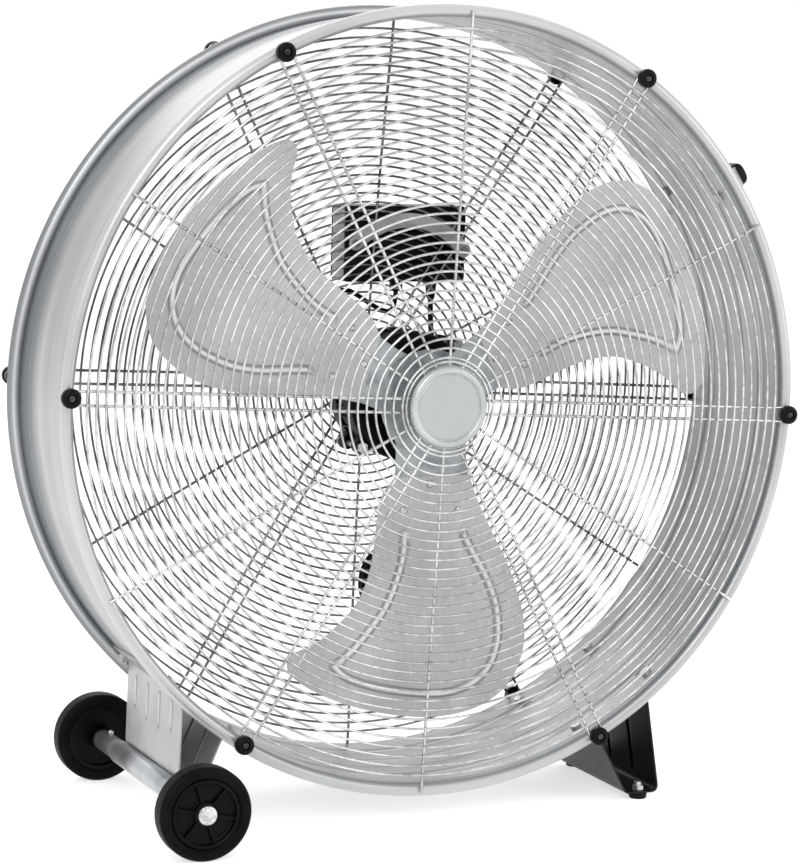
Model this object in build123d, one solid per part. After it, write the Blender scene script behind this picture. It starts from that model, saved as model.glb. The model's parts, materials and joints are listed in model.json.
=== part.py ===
"""A 30-inch drum fan on two wheels and a foot bracket, in millimetres.

+Z is up, the drum's axis runs along Y and the front guard faces -Y. The origin is on the
floor under the middle of the drum. Every piece is drawn about the drum's axis and lifted to
its height above the floor when it is written.
"""
from build123d import *
from math import atan2, cos, degrees, hypot, pi, radians, sin, sqrt, tan
import os

os.makedirs("parts", exist_ok=True)

# ---------------------------------------------------------------- drum
axis_height = 492.0          # floor to the drum's axis
drum_inner_radius = 448.0
drum_wall = 1.5
bead_radius = 7.5            # rolled bead at each rim
drum_half_depth = 107.0      # middle of the drum to the middle of a bead
drum_outer_radius = drum_inner_radius + drum_wall
bead_circle = drum_inner_radius + bead_radius
guard_seat = drum_half_depth + bead_radius
knob_circle = bead_circle - 1.1

# ---------------------------------------------------------------- guards
spoke_wire = 3.6
ring_wire = 3.0
ring_seat_gap = 0.2          # weld line between a ring and the spokes
hairpin_spacing = 16.0       # between the two legs of a hairpin spoke
guard_turn = -2.4            # degrees that both guards sit turned from level
spoke_count = 6
spoke_inner_end = 27.0
single_outer_end = bead_circle + 2.0
front_dome = 0.0             # how far the middle of each guard bulges out
rear_dome = 20.0
dome_flat_radius = knob_circle - 24.4    # outside this the spokes lie flat on the bead
dome_bends = 3
ring_first = 53.0
ring_count = 12
ring_edge_margin = 35.1      # from the outermost ring to the circle of knobs
ring_pitch = (knob_circle - ring_edge_margin - ring_first) / (ring_count - 1)
ring_facet_run = 84.0        # a ring gets four more flat sides each time its radius grows by this
badge_radius = 48.25
badge_thickness = 5.0
badge_bevel = 3.0
badge_ring_radius = 44.0
knob_radius = 12.25
knob_height = 9.0
knob_dome = 3.0
knob_neck_radius = 5.4
knob_recess = 2.5
knob_sides = 12
screw_radius = 2.5
screw_bite = 5.0             # how far a guard screw bites into the bead
screw_head_radius = 4.5
screw_head_height = 2.0

# ---------------------------------------------------------------- blades and hub
blade_count = 3
blade_first_angle = 33.1
blade_tip_radius = 379.0
blade_plane = -68.5          # middle of the blade sheet on its own centre line
blade_thickness = 2.0
blade_root_pitch = 20.7      # degrees, at blade_root
blade_tip_pitch = 8.0
blade_root = 88.0
blade_camber = 7.0
blade_curl = 56.0            # how far the hook's side comes forward at blade_tip_radius
blade_stations = (10.0, 200.0, 400.0)    # where the sheet's arcs are drawn
blade_arc = (-210.0, -40.0, 130.0)       # across the blade: both ends and the crown
blade_sweep = 90.0
rib_height = 2.5
blade_root_half = 41.0
# Outlines of a blade and the middle lines of its rib, as shares of blade_tip_radius along
# and across the blade.
hollow_edge_shares = (
    (0.2823, -0.1478), (0.3430, -0.1662), (0.4222, -0.1794), (0.5013, -0.1953), (0.5594, -0.2164),
    (0.6227, -0.2533), (0.6728, -0.3087), (0.7124, -0.3694), (0.7414, -0.4301), (0.7573, -0.4802),
)
round_edge_shares = (
    (0.7678, -0.5013), (0.7889, -0.5119), (0.8127, -0.5013), (0.8417, -0.4697), (0.8760, -0.4169),
    (0.9129, -0.3351), (0.9472, -0.2480), (0.9789, -0.1372), (0.9974, -0.0211), (0.9921, 0.0844),
    (0.9683, 0.1583), (0.9261, 0.2190), (0.8707, 0.2559), (0.7916, 0.2784), (0.7124, 0.2784),
    (0.6332, 0.2612), (0.5277, 0.2269), (0.4222, 0.1794), (0.3166, 0.1346),
)
hollow_rib_shares = (
    (0.4090, -0.0897), (0.4908, -0.1003), (0.5752, -0.1293), (0.6412, -0.1636), (0.6913, -0.2058),
    (0.7441, -0.2586), (0.7836, -0.3113), (0.8021, -0.3430),
)
round_rib_shares = (
    (0.8021, -0.3430), (0.8364, -0.3087), (0.8654, -0.2507), (0.8918, -0.1715), (0.9129, -0.0792),
    (0.9235, 0.0053), (0.9156, 0.0739), (0.8892, 0.1293), (0.8417, 0.1715), (0.7784, 0.1926),
    (0.7124, 0.1953), (0.6464, 0.1873), (0.5673, 0.1609), (0.4881, 0.1214), (0.4222, 0.0897),
)
rib_width = 7.0
spider_thickness = 3.0
spider_disc_radius = 62.0
spider_arm_end = 148.0
spider_arm_half_width = 45.0
spider_waist_half_width = 38.0
spider_corner = 12.0
spider_root = 8.0            # how far an arm runs into the disc
rivet_radius = 5.0
rivet_proud = 2.2
rivet_sides = 8
rivet_places = ((97.0, -2.0), (128.0, -33.0), (130.0, 29.0))
hub_flange_radius = 40.0
hub_flange = 6.0
hub_boss_radius = 22.0
hub_boss_length = 34.0
hub_nut_radius = 15.0
hub_nut_height = 11.0
hub_washer_radius = 18.0
hub_washer = 2.0
round_sides = 16             # flat sides of a washer and of the plug's body
hub_bolt_circle = 31.0
hub_bolt_radius = 3.0
hub_bolt_count = 3

# ---------------------------------------------------------------- motor
shaft_radius = 9.5
shaft_front_end = -84.0
motor_radius = 78.0
motor_wall = 4.0
motor_front = -15.0
motor_length = 75.0
mount_plate = 3.0            # thickness of both flanges of the motor's mount
mount_plate_radius = 41.0
mount_tube_radius = 26.0
mount_tube_wall = 3.0
bell_depth = 24.0            # from a bell's outer face to its joint with the shell
bell_skin = 6.0
bell_corner = 6.5
bell_bore_gap = 1.5
bearing_outer = 21.0
bearing_width = 14.0
bearing_lip = 6.0
bearing_boss = 6.0
bearing_running_fit = 0.04
core_gap = 0.5               # air gap between stator and motor rotor
core_bore = 45.0
core_half_length = 14.0
winding_depth = 11.0
winding_inset = 9.0
winding_sides = 24
inner_seat = 0.2
ear_circle = motor_radius + 7.3
ear_radius = 8.0
ear_depth = 16.0
tie_bolt_radius = 3.0
tie_bolt_count = 4
tie_bolt_angle = 45.0
mount_bolt_circle = 34.0
mount_bolt_angle = 12.6
mount_bolt_radius = 4.0
hole_clearance = 0.3
cutter_reach = 20.0           # how far a cutting tool runs past what it cuts

# ---------------------------------------------------------------- control box
box_left = -28.0
box_right = 134.0
box_bottom = 125.0
box_top = 219.0
box_front = guard_seat + rear_dome + 6.3
box_depth = 44.0
box_wall = 3.0
cover_thickness = 3.0
cover_corner = 5.0
switch_size = (40.0, 24.0, 40.0)
switch_shaft_radius = 3.0
switch_hole_radius = 4.0
capacitor_radius = 17.0
capacitor_length = 50.0
knob_dial_radius = 18.0
knob_dial_height = 14.0
knob_dial_grip = (8.0, 8.0, 32.0)
knob_dial_gap = 0.5
knob_dial_bore_fit = 0.05
strap_gap_share = 0.65       # how far across that gap the screw sits
strap_left_gap = 3           # the gap between rings that each end's screw passes through
strap_left_angle = 96.2
strap_right_gap = 4
strap_right_angle = 52.5
strap_crown = (52.0, 202.0)
strap_width = 18.0
strap_thickness = 2.0
strap_face = guard_seat + 12.5
gland_radius = 8.0
gland_length = 12.0
gland_sides = 12

# ---------------------------------------------------------------- cords
lead_diameter = 7.0
motor_cable_diameter = 6.0
arc_share = 0.45             # share of the shorter run that an arc may take
lead_gland_length = 22.0
lead_gland_tip = 5.0
lead_exit = (96.0, box_front + 17.2)    # x and y where the lead leaves the box
# Points on the lead's way down: x, how far behind the box's front, and z.
lead_bends = ((96.0, 17.2, 62.0), (106.0, 10.2, 8.0), (118.0, 6.7, -62.0), (117.0, 4.7, -130.0))
lead_straight_from = -192.0
cable_exit = (46.0, box_front + 11.2)
cable_bends = ((46.0, 11.2, 88.0), (26.0, 12.2, 87.0), (-32.0, 21.2, 128.0))
cable_drop_y = box_front + 29.2
cable_entry_radius = 63.0    # where the motor cable enters the back of the motor
cable_entry_angle = 140.0
coil_centre = (57.0, -254.0)
coil_outer = 54.0            # path radius at the first turn
coil_step = 8.0              # growth of the path radius in each turn
coil_turns = 5
coil_seat = box_front + 0.5  # y of the layer that lies against the rear guard
coil_layer_step = 8.1
coil_climb_turns = 0.5
coil_stations_per_turn = 4
coil_end_run = 21.0          # straight run from the last turn to the plug
cord_sides = 8
coil_sides = 6
plug_body_radius = 18.0
plug_body_length = 34.0
plug_relief_length = 28.0
plug_pin_radius = 2.4
plug_pin_length = 19.0
plug_pin_spacing = 19.0
tie_width = 14.0
tie_thickness = 1.6
tie_room = 0.2

# ---------------------------------------------------------------- brackets, wheels, feet
sheet = 2.0
bracket_half_length = drum_half_depth - bead_radius - 1.5
bracket_bolt_y = bracket_half_length - 18.0
flange_half_angle = 2.0      # degrees of drum that half a flange spans
bolt_shank_radius = 3.0
bolt_head_radius = 6.0
bolt_head_height = 4.0
bolt_nut_height = 5.0
bolt_tail = 2.0              # how far a shank stands out of its nut
nut_gap = 0.05
foot_radius = 11.5
foot_height = 8.0
foot_taper = 1.5
foot_x = 284.0
foot_y = bracket_half_length - 11.0
foot_right_bolt = 311.0      # degrees round the drum
foot_left_bolt = 296.6
foot_half_width = 21.0
wheel_outer_bolt = 224.4
wheel_inner_bolt = 236.9
wheel_radius = 54.0
wheel_x = -318.3
wheel_outer_face = drum_half_depth + 102.5
wheel_width = 27.0
tyre_depth = 14.0
tyre_chamfer = 5.0
wheel_bore_fit = 0.06
wheel_boss_radius = 14.0
wheel_boss_reach = 8.0
wheel_web = 6.0
wheel_rim = 5.0
wheel_rib_count = 6
wheel_rib_width = 4.0
wheel_rib_root = 1.0
axle_radius = 6.0
axle_tube_radius = 12.5
axle_tube_bore = 10.0
axle_sleeve_radius = 14.0    # the thicker sleeve that the bracket is welded to
axle_sleeve_half_length = 106.0
axle_bush_length = 20.0
axle_gap = 0.3
cap_radius = 11.0
cap_skin = 2.0
cap_depth = 4.0
bracket_web_angle = 50.0     # from the tube's middle to where the bracket sits on it
bracket_web_left = 6.0
bracket_web_right = 24.0
rib_press_width = 8.0
rib_press_height = 1.4
rib_press_root = 0.8         # how far a rib's block runs into the sheet
# Each pressed rib of a plate: its y, and where it starts and ends as shares of the plate's run.
foot_rib_spans = ((-38.0, 0.12, 0.88), (22.0, 0.12, 0.88))
wheel_outer_rib_spans = ((-66.0, 0.08, 0.50), (-22.0, 0.08, 0.54), (22.0, 0.08, 0.54), (66.0, 0.08, 0.50))
wheel_inner_rib_spans = ((-50.0, 0.14, 0.86), (0.0, 0.14, 0.86), (50.0, 0.14, 0.86))

# ---------------------------------------------------------------- carrying handle
handle_angle = 32.8
handle_bolt_y = 68.0
handle_foot_half = 12.0
handle_rise = 44.0
handle_top_half = 44.0
handle_strip = 3.0
handle_width = 25.0
grip_radius = 12.0
grip_half_width = 14.5
grip_half_length = 44.0
grip_seat = 0.2

wheel_height = wheel_radius - axis_height    # axle height, measured from the drum's axis
floor_level = -axis_height


# ================================================================ helpers
def around(angle):
    """A turn about the drum's axis, counter-clockwise as seen from the front."""
    return Rot(0, -angle, 0)


def on_drum(angle, radius=drum_outer_radius):
    """X and Z of a point on a circle about the drum's axis."""
    return radius * cos(radians(angle)), radius * sin(radians(angle))


def spun(points):
    """A solid turned about the drum's axis from a closed outline of (radius, y) points."""
    return revolve(Plane.XY * make_face(Polyline(*points, close=True)), Axis.Y)


def drum_slab(outline, y_from, y_to):
    """A flat outline in X and Z, made solid from one Y to another."""
    return extrude(Plane.XZ.offset(-y_from) * outline, y_from - y_to)


def prism(at, direction, radius, length, sides=8):
    """A straight bar with flat sides, whose flats lie at the radius."""
    plane = Plane(origin=at, z_dir=direction)
    return extrude(plane * RegularPolygon(radius, sides, major_radius=False), length)


def rod(at, direction, radius, length):
    """A round bar from a point along a direction."""
    return extrude(Plane(origin=at, z_dir=direction) * Circle(radius), length)


def bolt(at, direction, shank, length, head, height):
    """A hexagon bolt whose head sits at a point and whose shank runs on from it."""
    back = [-c for c in direction]
    return prism(at, direction, shank, length) + prism(at, back, head, height, 6)


def folded_strip(path, thickness, half_length):
    """Sheet folded along a path of X and Z points, thickened to the path's right hand."""
    right = []
    for (x0, z0), (x1, z1) in zip(path, path[1:]):
        run = hypot(x1 - x0, z1 - z0)
        right.append(((z1 - z0) / run, (x0 - x1) / run))
    offset = [tuple(p + thickness * n for p, n in zip(path[0], right[0]))]
    for point, (ax, az), (bx, bz) in zip(path[1:-1], right, right[1:]):
        scale = thickness / (1 + ax * bx + az * bz)
        offset.append((point[0] + scale * (ax + bx), point[1] + scale * (az + bz)))
    offset.append(tuple(p + thickness * n for p, n in zip(path[-1], right[-1])))
    outline = make_face(Polyline(*path, *reversed(offset), close=True))
    return drum_slab(outline, -half_length, half_length)


def group(shapes):
    """Separate solids kept together in one node."""
    return Compound(children=[s for shape in shapes for s in shape.solids()])


# ================================================================ drum and guards
def drum_shell():
    bead = RegularPolygon(bead_radius, 8, major_radius=False, rotation=22.5)
    wall = Pos(drum_inner_radius + drum_wall / 2, 0) * Rectangle(drum_wall, 2 * drum_half_depth)
    beads = [Pos(bead_circle, side * drum_half_depth) * bead for side in (-1, 1)]
    shell = revolve(Plane.XY * (wall + beads), Axis.Y)
    return shell - bolt_holes()


def dome_height(radius, dome):
    """How far a spoke stands out of the rim plane, as straight runs between bends."""
    def arch(r):
        return dome * (1 - (r / dome_flat_radius) ** 2)
    step = (dome_flat_radius - spoke_inner_end) / dome_bends
    if radius >= dome_flat_radius:
        return 0.0
    index = min(int((radius - spoke_inner_end) / step), dome_bends - 1)
    inner = spoke_inner_end + index * step
    share = (radius - inner) / step
    return arch(inner) * (1 - share) + arch(inner + step) * share


def leg(tangential, outer_end, side, dome):
    """One straight wire of a spoke, bent where the dome bends."""
    step = (dome_flat_radius - spoke_inner_end) / dome_bends
    bends = [spoke_inner_end + i * step for i in range(dome_bends + 1)] + [outer_end]
    if dome == 0:
        bends = [spoke_inner_end, outer_end]
    near = [(r, side * (guard_seat + dome_height(r, dome))) for r in bends]
    far = [(r, y + side * spoke_wire) for r, y in near]
    outline = Plane.XY.offset(tangential - spoke_wire / 2)
    return extrude(outline * make_face(Polyline(*near, *reversed(far), close=True)), spoke_wire)


def hairpin(side, dome):
    """Two legs joined by a half turn round the knob's neck."""
    half = hairpin_spacing / 2
    bend = Circle(half + spoke_wire / 2) - Circle(half - spoke_wire / 2)
    bend -= Pos(-hairpin_spacing, 0) * Rectangle(2 * hairpin_spacing, 2 * hairpin_spacing)
    turn = drum_slab(Pos(knob_circle, 0) * bend, side * guard_seat, side * (guard_seat + spoke_wire))
    return turn + [leg(t, knob_circle, side, dome) for t in (-half, half)]


def guard_spokes(side, dome):
    spokes = []
    for i in range(spoke_count):
        angle = guard_turn + i * 360 / spoke_count
        spokes.append(around(angle) * hairpin(side, dome))
        spokes.append(around(angle + 180 / spoke_count) * leg(0, single_outer_end, side, dome))
    return group(spokes)


def ring(radius, side, dome, sides):
    """One wire ring with flat facets, seated on the outside of the spokes."""
    outline = RegularPolygon(radius + ring_wire / 2, sides) - RegularPolygon(radius - ring_wire / 2, sides)
    seat = guard_seat + dome_height(radius, dome) + spoke_wire + ring_seat_gap
    return drum_slab(outline, side * seat, side * (seat + ring_wire))


def ring_sides(radius):
    return 16 + 4 * int(radius / ring_facet_run)


def guard_rings(side, dome):
    radii = [badge_ring_radius] + [ring_first + i * ring_pitch for i in range(ring_count)]
    return group(ring(r, side, dome, ring_sides(r)) for r in radii)


def badge_disc():
    seat = -(guard_seat + front_dome + spoke_wire + ring_seat_gap + ring_wire)
    return spun([
        (0, seat), (badge_radius, seat), (badge_radius, seat - badge_thickness + badge_bevel),
        (badge_radius - 2 * badge_bevel, seat - badge_thickness), (0, seat - badge_thickness),
    ])


def guard_knob(side):
    """A moulded clamp knob: the head holds the hairpin and the neck stands on the bead."""
    out = (0, side, 0)
    foot = (knob_circle, side * guard_seat, 0)
    seat = guard_seat + spoke_wire
    neck = prism(foot, out, knob_neck_radius, spoke_wire)
    skirt = prism((knob_circle, side * seat, 0), out, knob_radius, knob_height - knob_dome, knob_sides)
    top = seat + knob_height - knob_dome
    crown = extrude(
        Plane(origin=(knob_circle, side * top, 0), z_dir=out)
        * RegularPolygon(knob_radius, knob_sides, major_radius=False), knob_dome, taper=45)
    screw_room = prism(foot, out, screw_radius, spoke_wire + knob_height)
    recess_floor = (knob_circle, side * (seat + knob_height - knob_recess), 0)
    recess = prism(recess_floor, out, screw_head_radius, knob_height)
    return neck + skirt + crown - screw_room - recess


def guard_screw(side):
    recess = guard_seat + spoke_wire + knob_height - knob_recess
    length = spoke_wire + knob_height - knob_recess + screw_bite
    at = (knob_circle, side * recess, 0)
    shank = prism(at, (0, -side, 0), screw_radius, length)
    return shank + prism(at, (0, side, 0), screw_head_radius, screw_head_height)


def around_rim(piece):
    return group(around(guard_turn + i * 360 / spoke_count) * piece for i in range(spoke_count))


# ================================================================ blades and hub
def pitch_at(u):
    """Blade pitch in degrees at a distance along the blade's centre line."""
    return blade_root_pitch + (blade_tip_pitch - blade_root_pitch) * (u - blade_root) / (
        blade_tip_radius - blade_root)


def twisted_slab(back_offset, thickness):
    """A cambered, twisted sheet, wider and longer than a blade, lofted through three arcs."""
    sections = []
    for u in blade_stations:
        slope = -tan(radians(pitch_at(u)))
        camber, curl = (size * u / blade_tip_radius for size in (blade_camber, blade_curl))
        faces = []
        for y in (blade_plane + back_offset - thickness / 2, blade_plane + back_offset + thickness / 2):
            faces.append([(u, y + slope * s + c, s) for s, c in
                          zip(blade_arc, (-curl, -camber, 0))])
        front, back = faces
        edges = [ThreePointArc(*front), Line(front[-1], back[-1]),
                 ThreePointArc(*reversed(back)), Line(back[0], front[0])]
        sections.append(make_face(edges))
    return loft(sections)


def bow_at(u, s):
    """How far a blade's bow brings it forward of its plain slope."""
    low, crown, high = blade_arc
    camber = blade_camber * (1 - ((s - crown) / (crown - low)) ** 2)
    curl = blade_curl * (s - crown) * (s - high) / ((low - crown) * (low - high))
    return (camber + curl) * u / blade_tip_radius


def blade_points(shares):
    """Points along and across a blade, from shares of its tip radius."""
    return [(u * blade_tip_radius, across * blade_tip_radius) for u, across in shares]


def blade_outline():
    """The leaf shape of a blade, seen along the drum's axis."""
    low, high = (blade_root, -blade_root_half), (blade_root, blade_root_half)
    hollow_edge = Spline(low, *blade_points(hollow_edge_shares))
    round_edge = Spline(*blade_points(hollow_edge_shares[-1:] + round_edge_shares), high)
    return make_face([hollow_edge, round_edge, Line(high, low)])


def rib_outline():
    """The raised rib: two arms along the blade that meet in a point below the hook of its tip."""
    arms = [Spline(*blade_points(shares)) for shares in (hollow_rib_shares, round_rib_shares)]
    point = Pos(*blade_points(hollow_rib_shares)[-1]) * Circle(rib_width / 2)
    return trace(arms[0], rib_width) + trace(arms[1], rib_width) + point


def blade_prism(outline):
    return drum_slab(outline, blade_plane - blade_sweep, blade_plane + blade_sweep)


def blade(angle):
    sheet_metal = twisted_slab(0, blade_thickness) & blade_prism(blade_outline())
    rib = twisted_slab(-(blade_thickness + rib_height) / 2, rib_height) & blade_prism(rib_outline())
    return around(angle) * (sheet_metal + rib)


def blade_angles():
    return [blade_first_angle + i * 360 / blade_count for i in range(blade_count)]


def spider_plane():
    return blade_plane + (blade_thickness + spider_thickness) / 2


def spider():
    """The pressed plate that carries the blades: a flat disc with three twisted arms."""
    shoulder = spider_arm_end - spider_corner
    arm = make_face(Polyline(
        (0, -spider_waist_half_width), (spider_disc_radius, -spider_waist_half_width),
        (shoulder, -spider_arm_half_width), (spider_arm_end, spider_corner - spider_arm_half_width),
        (spider_arm_end, spider_arm_half_width - spider_corner), (shoulder, spider_arm_half_width),
        (spider_disc_radius, spider_waist_half_width), (0, spider_waist_half_width), close=True))
    arm -= Circle(spider_disc_radius - spider_root)
    slab = twisted_slab((blade_thickness + spider_thickness) / 2, spider_thickness)
    arms = [around(a) * (slab & blade_prism(arm)) for a in blade_angles()]
    middle = spider_plane()
    disc = rod((0, middle - spider_thickness / 2, 0), (0, 1, 0), spider_disc_radius, spider_thickness)
    plate = disc + arms
    for at in hub_bolt_points(middle - hub_flange_radius):
        plate -= prism(at, (0, 1, 0), hub_bolt_radius + hole_clearance, 2 * hub_flange_radius)
    return plate - rod((0, middle - hub_flange_radius, 0), (0, 1, 0), shaft_radius, 2 * hub_flange_radius)


def blade_rivets():
    """Three rivets to a blade, square to the sheet where they sit."""
    rivets = []
    stack = blade_thickness + spider_thickness
    for angle in blade_angles():
        for u, s in rivet_places:
            tilt = pitch_at(u)
            normal = (0, cos(radians(tilt)), sin(radians(tilt)))
            middle = blade_plane + spider_thickness / 2 - s * tan(radians(tilt)) - bow_at(u, s)
            reach = stack / 2 + rivet_proud
            at = (u, middle - reach * normal[1], s - reach * normal[2])
            rivets.append(around(angle) * prism(at, normal, rivet_radius, 2 * reach, rivet_sides))
    return group(rivets)


def hub_bolt_points(y):
    points = []
    for i in range(hub_bolt_count):
        x, z = on_drum(blade_first_angle + (i + 0.5) * 360 / hub_bolt_count, hub_bolt_circle)
        points.append((x, y, z))
    return points


def hub_boss():
    front = spider_plane() + spider_thickness / 2
    flange = front + hub_flange
    body = spun([
        (shaft_radius, front), (hub_flange_radius, front), (hub_flange_radius, flange),
        (hub_boss_radius, flange), (hub_boss_radius, front + hub_boss_length),
        (shaft_radius, front + hub_boss_length),
    ])
    for at in hub_bolt_points(front - 1):
        body -= prism(at, (0, 1, 0), hub_bolt_radius + hole_clearance, hub_flange + 2)
    return body


def hub_bolts():
    front = spider_plane() - spider_thickness / 2
    length = spider_thickness + hub_flange + bolt_nut_height
    bolts = []
    for x, y, z in hub_bolt_points(front):
        screw = bolt((x, y, z), (0, 1, 0), hub_bolt_radius, length, bolt_head_radius, bolt_head_height)
        nut = prism((x, front + spider_thickness + hub_flange, z), (0, 1, 0),
                    bolt_head_radius, bolt_nut_height, 6)
        bolts.append(screw + nut)
    return group(bolts)


def hub_nut():
    front = spider_plane() - spider_thickness / 2
    washer = prism((0, front, 0), (0, -1, 0), hub_washer_radius, hub_washer, round_sides)
    nut = prism((0, front - hub_washer, 0), (0, -1, 0), hub_nut_radius, hub_nut_height, 6)
    return washer + nut - rod((0, front + 1, 0), (0, -1, 0), shaft_radius, cutter_reach)


# ================================================================ motor
def motor_back():
    return motor_front + motor_length


def mount_end():
    """Where the mount's rear flange rests against the spokes of the rear guard."""
    return guard_seat + dome_height(mount_plate_radius, rear_dome) - ring_seat_gap


def rear_bearing_front():
    return motor_back() - bearing_lip - bearing_width


def front_bearing_front():
    return motor_front + bearing_lip


def motor_shaft():
    end = rear_bearing_front() + bearing_width
    return rod((0, shaft_front_end, 0), (0, 1, 0), shaft_radius, end - shaft_front_end)


def bearing(y):
    bore = shaft_radius + bearing_running_fit
    end = y + bearing_width
    return spun([(bore, y), (bearing_outer, y), (bearing_outer, end), (bore, end)])


def bell(face, inward):
    """A motor end bell: outer face, rounded corner, skirt and bearing pocket."""
    def y(depth):
        return face + inward * depth
    inner = motor_radius - motor_wall
    pocket_end = bearing_lip + bearing_width
    boss = bearing_outer + bearing_boss
    bore = shaft_radius + bell_bore_gap if inward > 0 else 0.0
    return spun([
        (bore, y(0)), (motor_radius - bell_corner, y(0)), (motor_radius, y(bell_corner)),
        (motor_radius, y(bell_depth)), (inner, y(bell_depth)), (inner, y(bell_skin + bell_corner)),
        (inner - bell_corner, y(bell_skin)), (boss, y(bell_skin)), (boss, y(pocket_end)),
        (bearing_outer, y(pocket_end)), (bearing_outer, y(bearing_lip)), (bore, y(bearing_lip)),
    ])


def tie_bolt_points(y):
    points = []
    for i in range(tie_bolt_count):
        x, z = on_drum(tie_bolt_angle + i * 360 / tie_bolt_count, ear_circle)
        points.append((x, y, z))
    return points


def bell_with_ears(face, inward):
    joint = face + inward * bell_depth
    ears = [prism(p, (0, -inward, 0), ear_radius, ear_depth) for p in tie_bolt_points(joint)]
    body = bell(face, inward) + ears
    for p in tie_bolt_points(joint + inward):
        body -= prism(p, (0, -inward, 0), tie_bolt_radius + hole_clearance, ear_depth + 2)
    if inward < 0:
        for at in mount_bolt_points(face):
            body -= prism(at, (0, -1, 0), mount_bolt_radius, bell_skin)
    return body


def motor_shell():
    front = motor_front + bell_depth
    back = motor_back() - bell_depth
    inner = motor_radius - motor_wall
    return spun([(inner, front), (motor_radius, front), (motor_radius, back), (inner, back)])


def core_middle():
    return (motor_front + motor_back()) / 2


def stator_core():
    y = core_middle()
    outer = motor_radius - motor_wall - inner_seat
    return spun([(core_bore, y - core_half_length), (outer, y - core_half_length),
                 (outer, y + core_half_length), (core_bore, y + core_half_length)])


def stator_windings():
    rings = []
    inner = core_bore + winding_inset / 2
    outer = motor_radius - motor_wall - winding_inset
    for side in (-1, 1):
        near = core_middle() + side * core_half_length
        far = near + side * winding_depth
        outline = RegularPolygon(outer, winding_sides) - RegularPolygon(inner, winding_sides)
        rings.append(drum_slab(outline, near, far))
    return group(rings)


def motor_rotor_core():
    y = core_middle()
    outer = core_bore - core_gap
    return spun([(shaft_radius, y - core_half_length), (outer, y - core_half_length),
                 (outer, y + core_half_length), (shaft_radius, y + core_half_length)])


def motor_tie_bolts():
    front = motor_front + bell_depth - ear_depth
    back = motor_back() - bell_depth + ear_depth
    bolts = []
    for p in tie_bolt_points(front):
        bolts.append(bolt(p, (0, 1, 0), tie_bolt_radius, back - front + bolt_nut_height,
                          bolt_head_radius, bolt_head_height)
                     + prism((p[0], back, p[2]), (0, 1, 0), bolt_head_radius, bolt_nut_height, 6))
    return group(bolts)


def mount_bolt_points(y):
    points = []
    for i in range(tie_bolt_count):
        x, z = on_drum(mount_bolt_angle + i * 360 / tie_bolt_count, mount_bolt_circle)
        points.append((x, y, z))
    return points


def motor_mount_plate():
    """The spool that holds the motor to the rear guard: two flanges on a tube."""
    front, back = motor_back(), mount_end()
    bore = mount_tube_radius - mount_tube_wall
    spool = spun([
        (0, front), (mount_plate_radius, front), (mount_plate_radius, front + mount_plate),
        (mount_tube_radius, front + mount_plate), (mount_tube_radius, back - mount_plate),
        (mount_plate_radius, back - mount_plate), (mount_plate_radius, back), (bore, back),
        (bore, front + mount_plate), (0, front + mount_plate),
    ])
    for at in mount_bolt_points(front):
        spool -= prism(at, (0, 1, 0), mount_bolt_radius + hole_clearance, mount_plate)
    return spool


def motor_mount_bolts():
    back = motor_back() + mount_plate
    return group(bolt(at, (0, -1, 0), mount_bolt_radius, mount_plate + bell_skin,
                      bolt_head_radius, bolt_head_height) for at in mount_bolt_points(back))


# ================================================================ control box
def box_middle():
    return (box_left + box_right) / 2, (box_bottom + box_top) / 2


def box_rectangle(inset, corner):
    x, z = box_middle()
    width, height = box_right - box_left, box_top - box_bottom
    return Pos(x, z) * RectangleRounded(width - 2 * inset, height - 2 * inset, corner)


def strap_ends():
    """Where the strap's screws pass between two rings of the rear guard."""
    ends = (strap_left_gap, strap_left_angle), (strap_right_gap, strap_right_angle)
    return [on_drum(angle, ring_first + (gap + strap_gap_share) * ring_pitch) for gap, angle in ends]


def strap_screw_points(y):
    return [(x, y, z) for x, z in strap_ends()]


def control_box():
    back = box_front + box_depth
    body = drum_slab(box_rectangle(0, cover_corner), box_front, back)
    body -= drum_slab(box_rectangle(box_wall, cover_corner - box_wall), box_front + box_wall, back)
    for at in strap_screw_points(box_front):
        body -= prism(at, (0, 1, 0), screw_radius, box_wall)
    return body


def box_cover():
    back = box_front + box_depth
    x, z = box_middle()
    plate = drum_slab(box_rectangle(0, cover_corner), back, back + cover_thickness)
    return plate - rod((x, back, z), (0, 1, 0), switch_hole_radius, cover_thickness)


def rotary_switch():
    """The switch body on the cover's inside, with its spindle through the cover."""
    width, depth, height = switch_size
    back = box_front + box_depth
    x, z = box_middle()
    body = Pos(x, back - depth / 2, z) * Box(width, depth, height)
    return body + rod((x, back, z), (0, 1, 0), switch_shaft_radius, cover_thickness + knob_dial_height / 2)


def speed_knob():
    x, z = box_middle()
    back = box_front + box_depth + cover_thickness
    start = back + knob_dial_gap
    dial = rod((x, start, z), (0, 1, 0), knob_dial_radius, knob_dial_height)
    grip = Pos(x, start + knob_dial_height, z) * Box(*knob_dial_grip)
    bore = switch_shaft_radius + knob_dial_bore_fit
    return dial + grip - rod((x, start, z), (0, 1, 0), bore, knob_dial_height / 2)


def run_capacitor():
    """The motor's run capacitor, lying on the floor of the box."""
    y = box_front + box_wall + capacitor_radius + inner_seat
    z = box_bottom + box_wall + capacitor_radius + inner_seat
    return rod((box_right - box_wall - cover_corner, y, z), (-1, 0, 0), capacitor_radius, capacitor_length)


def box_strap():
    """A flat strap, bowed upwards, that clamps the box to the guard from inside."""
    left, right = strap_ends()
    arc = ThreePointArc(left, strap_crown, right)
    strap = drum_slab(trace(arc, strap_width), strap_face, strap_face + strap_thickness)
    ends = [rod((p[0], strap_face, p[2]), (0, 1, 0), strap_width / 2, strap_thickness)
            for p in strap_screw_points(0)]
    strap += ends
    for at in strap_screw_points(strap_face):
        strap -= prism(at, (0, 1, 0), screw_radius, strap_thickness)
    return strap


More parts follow.
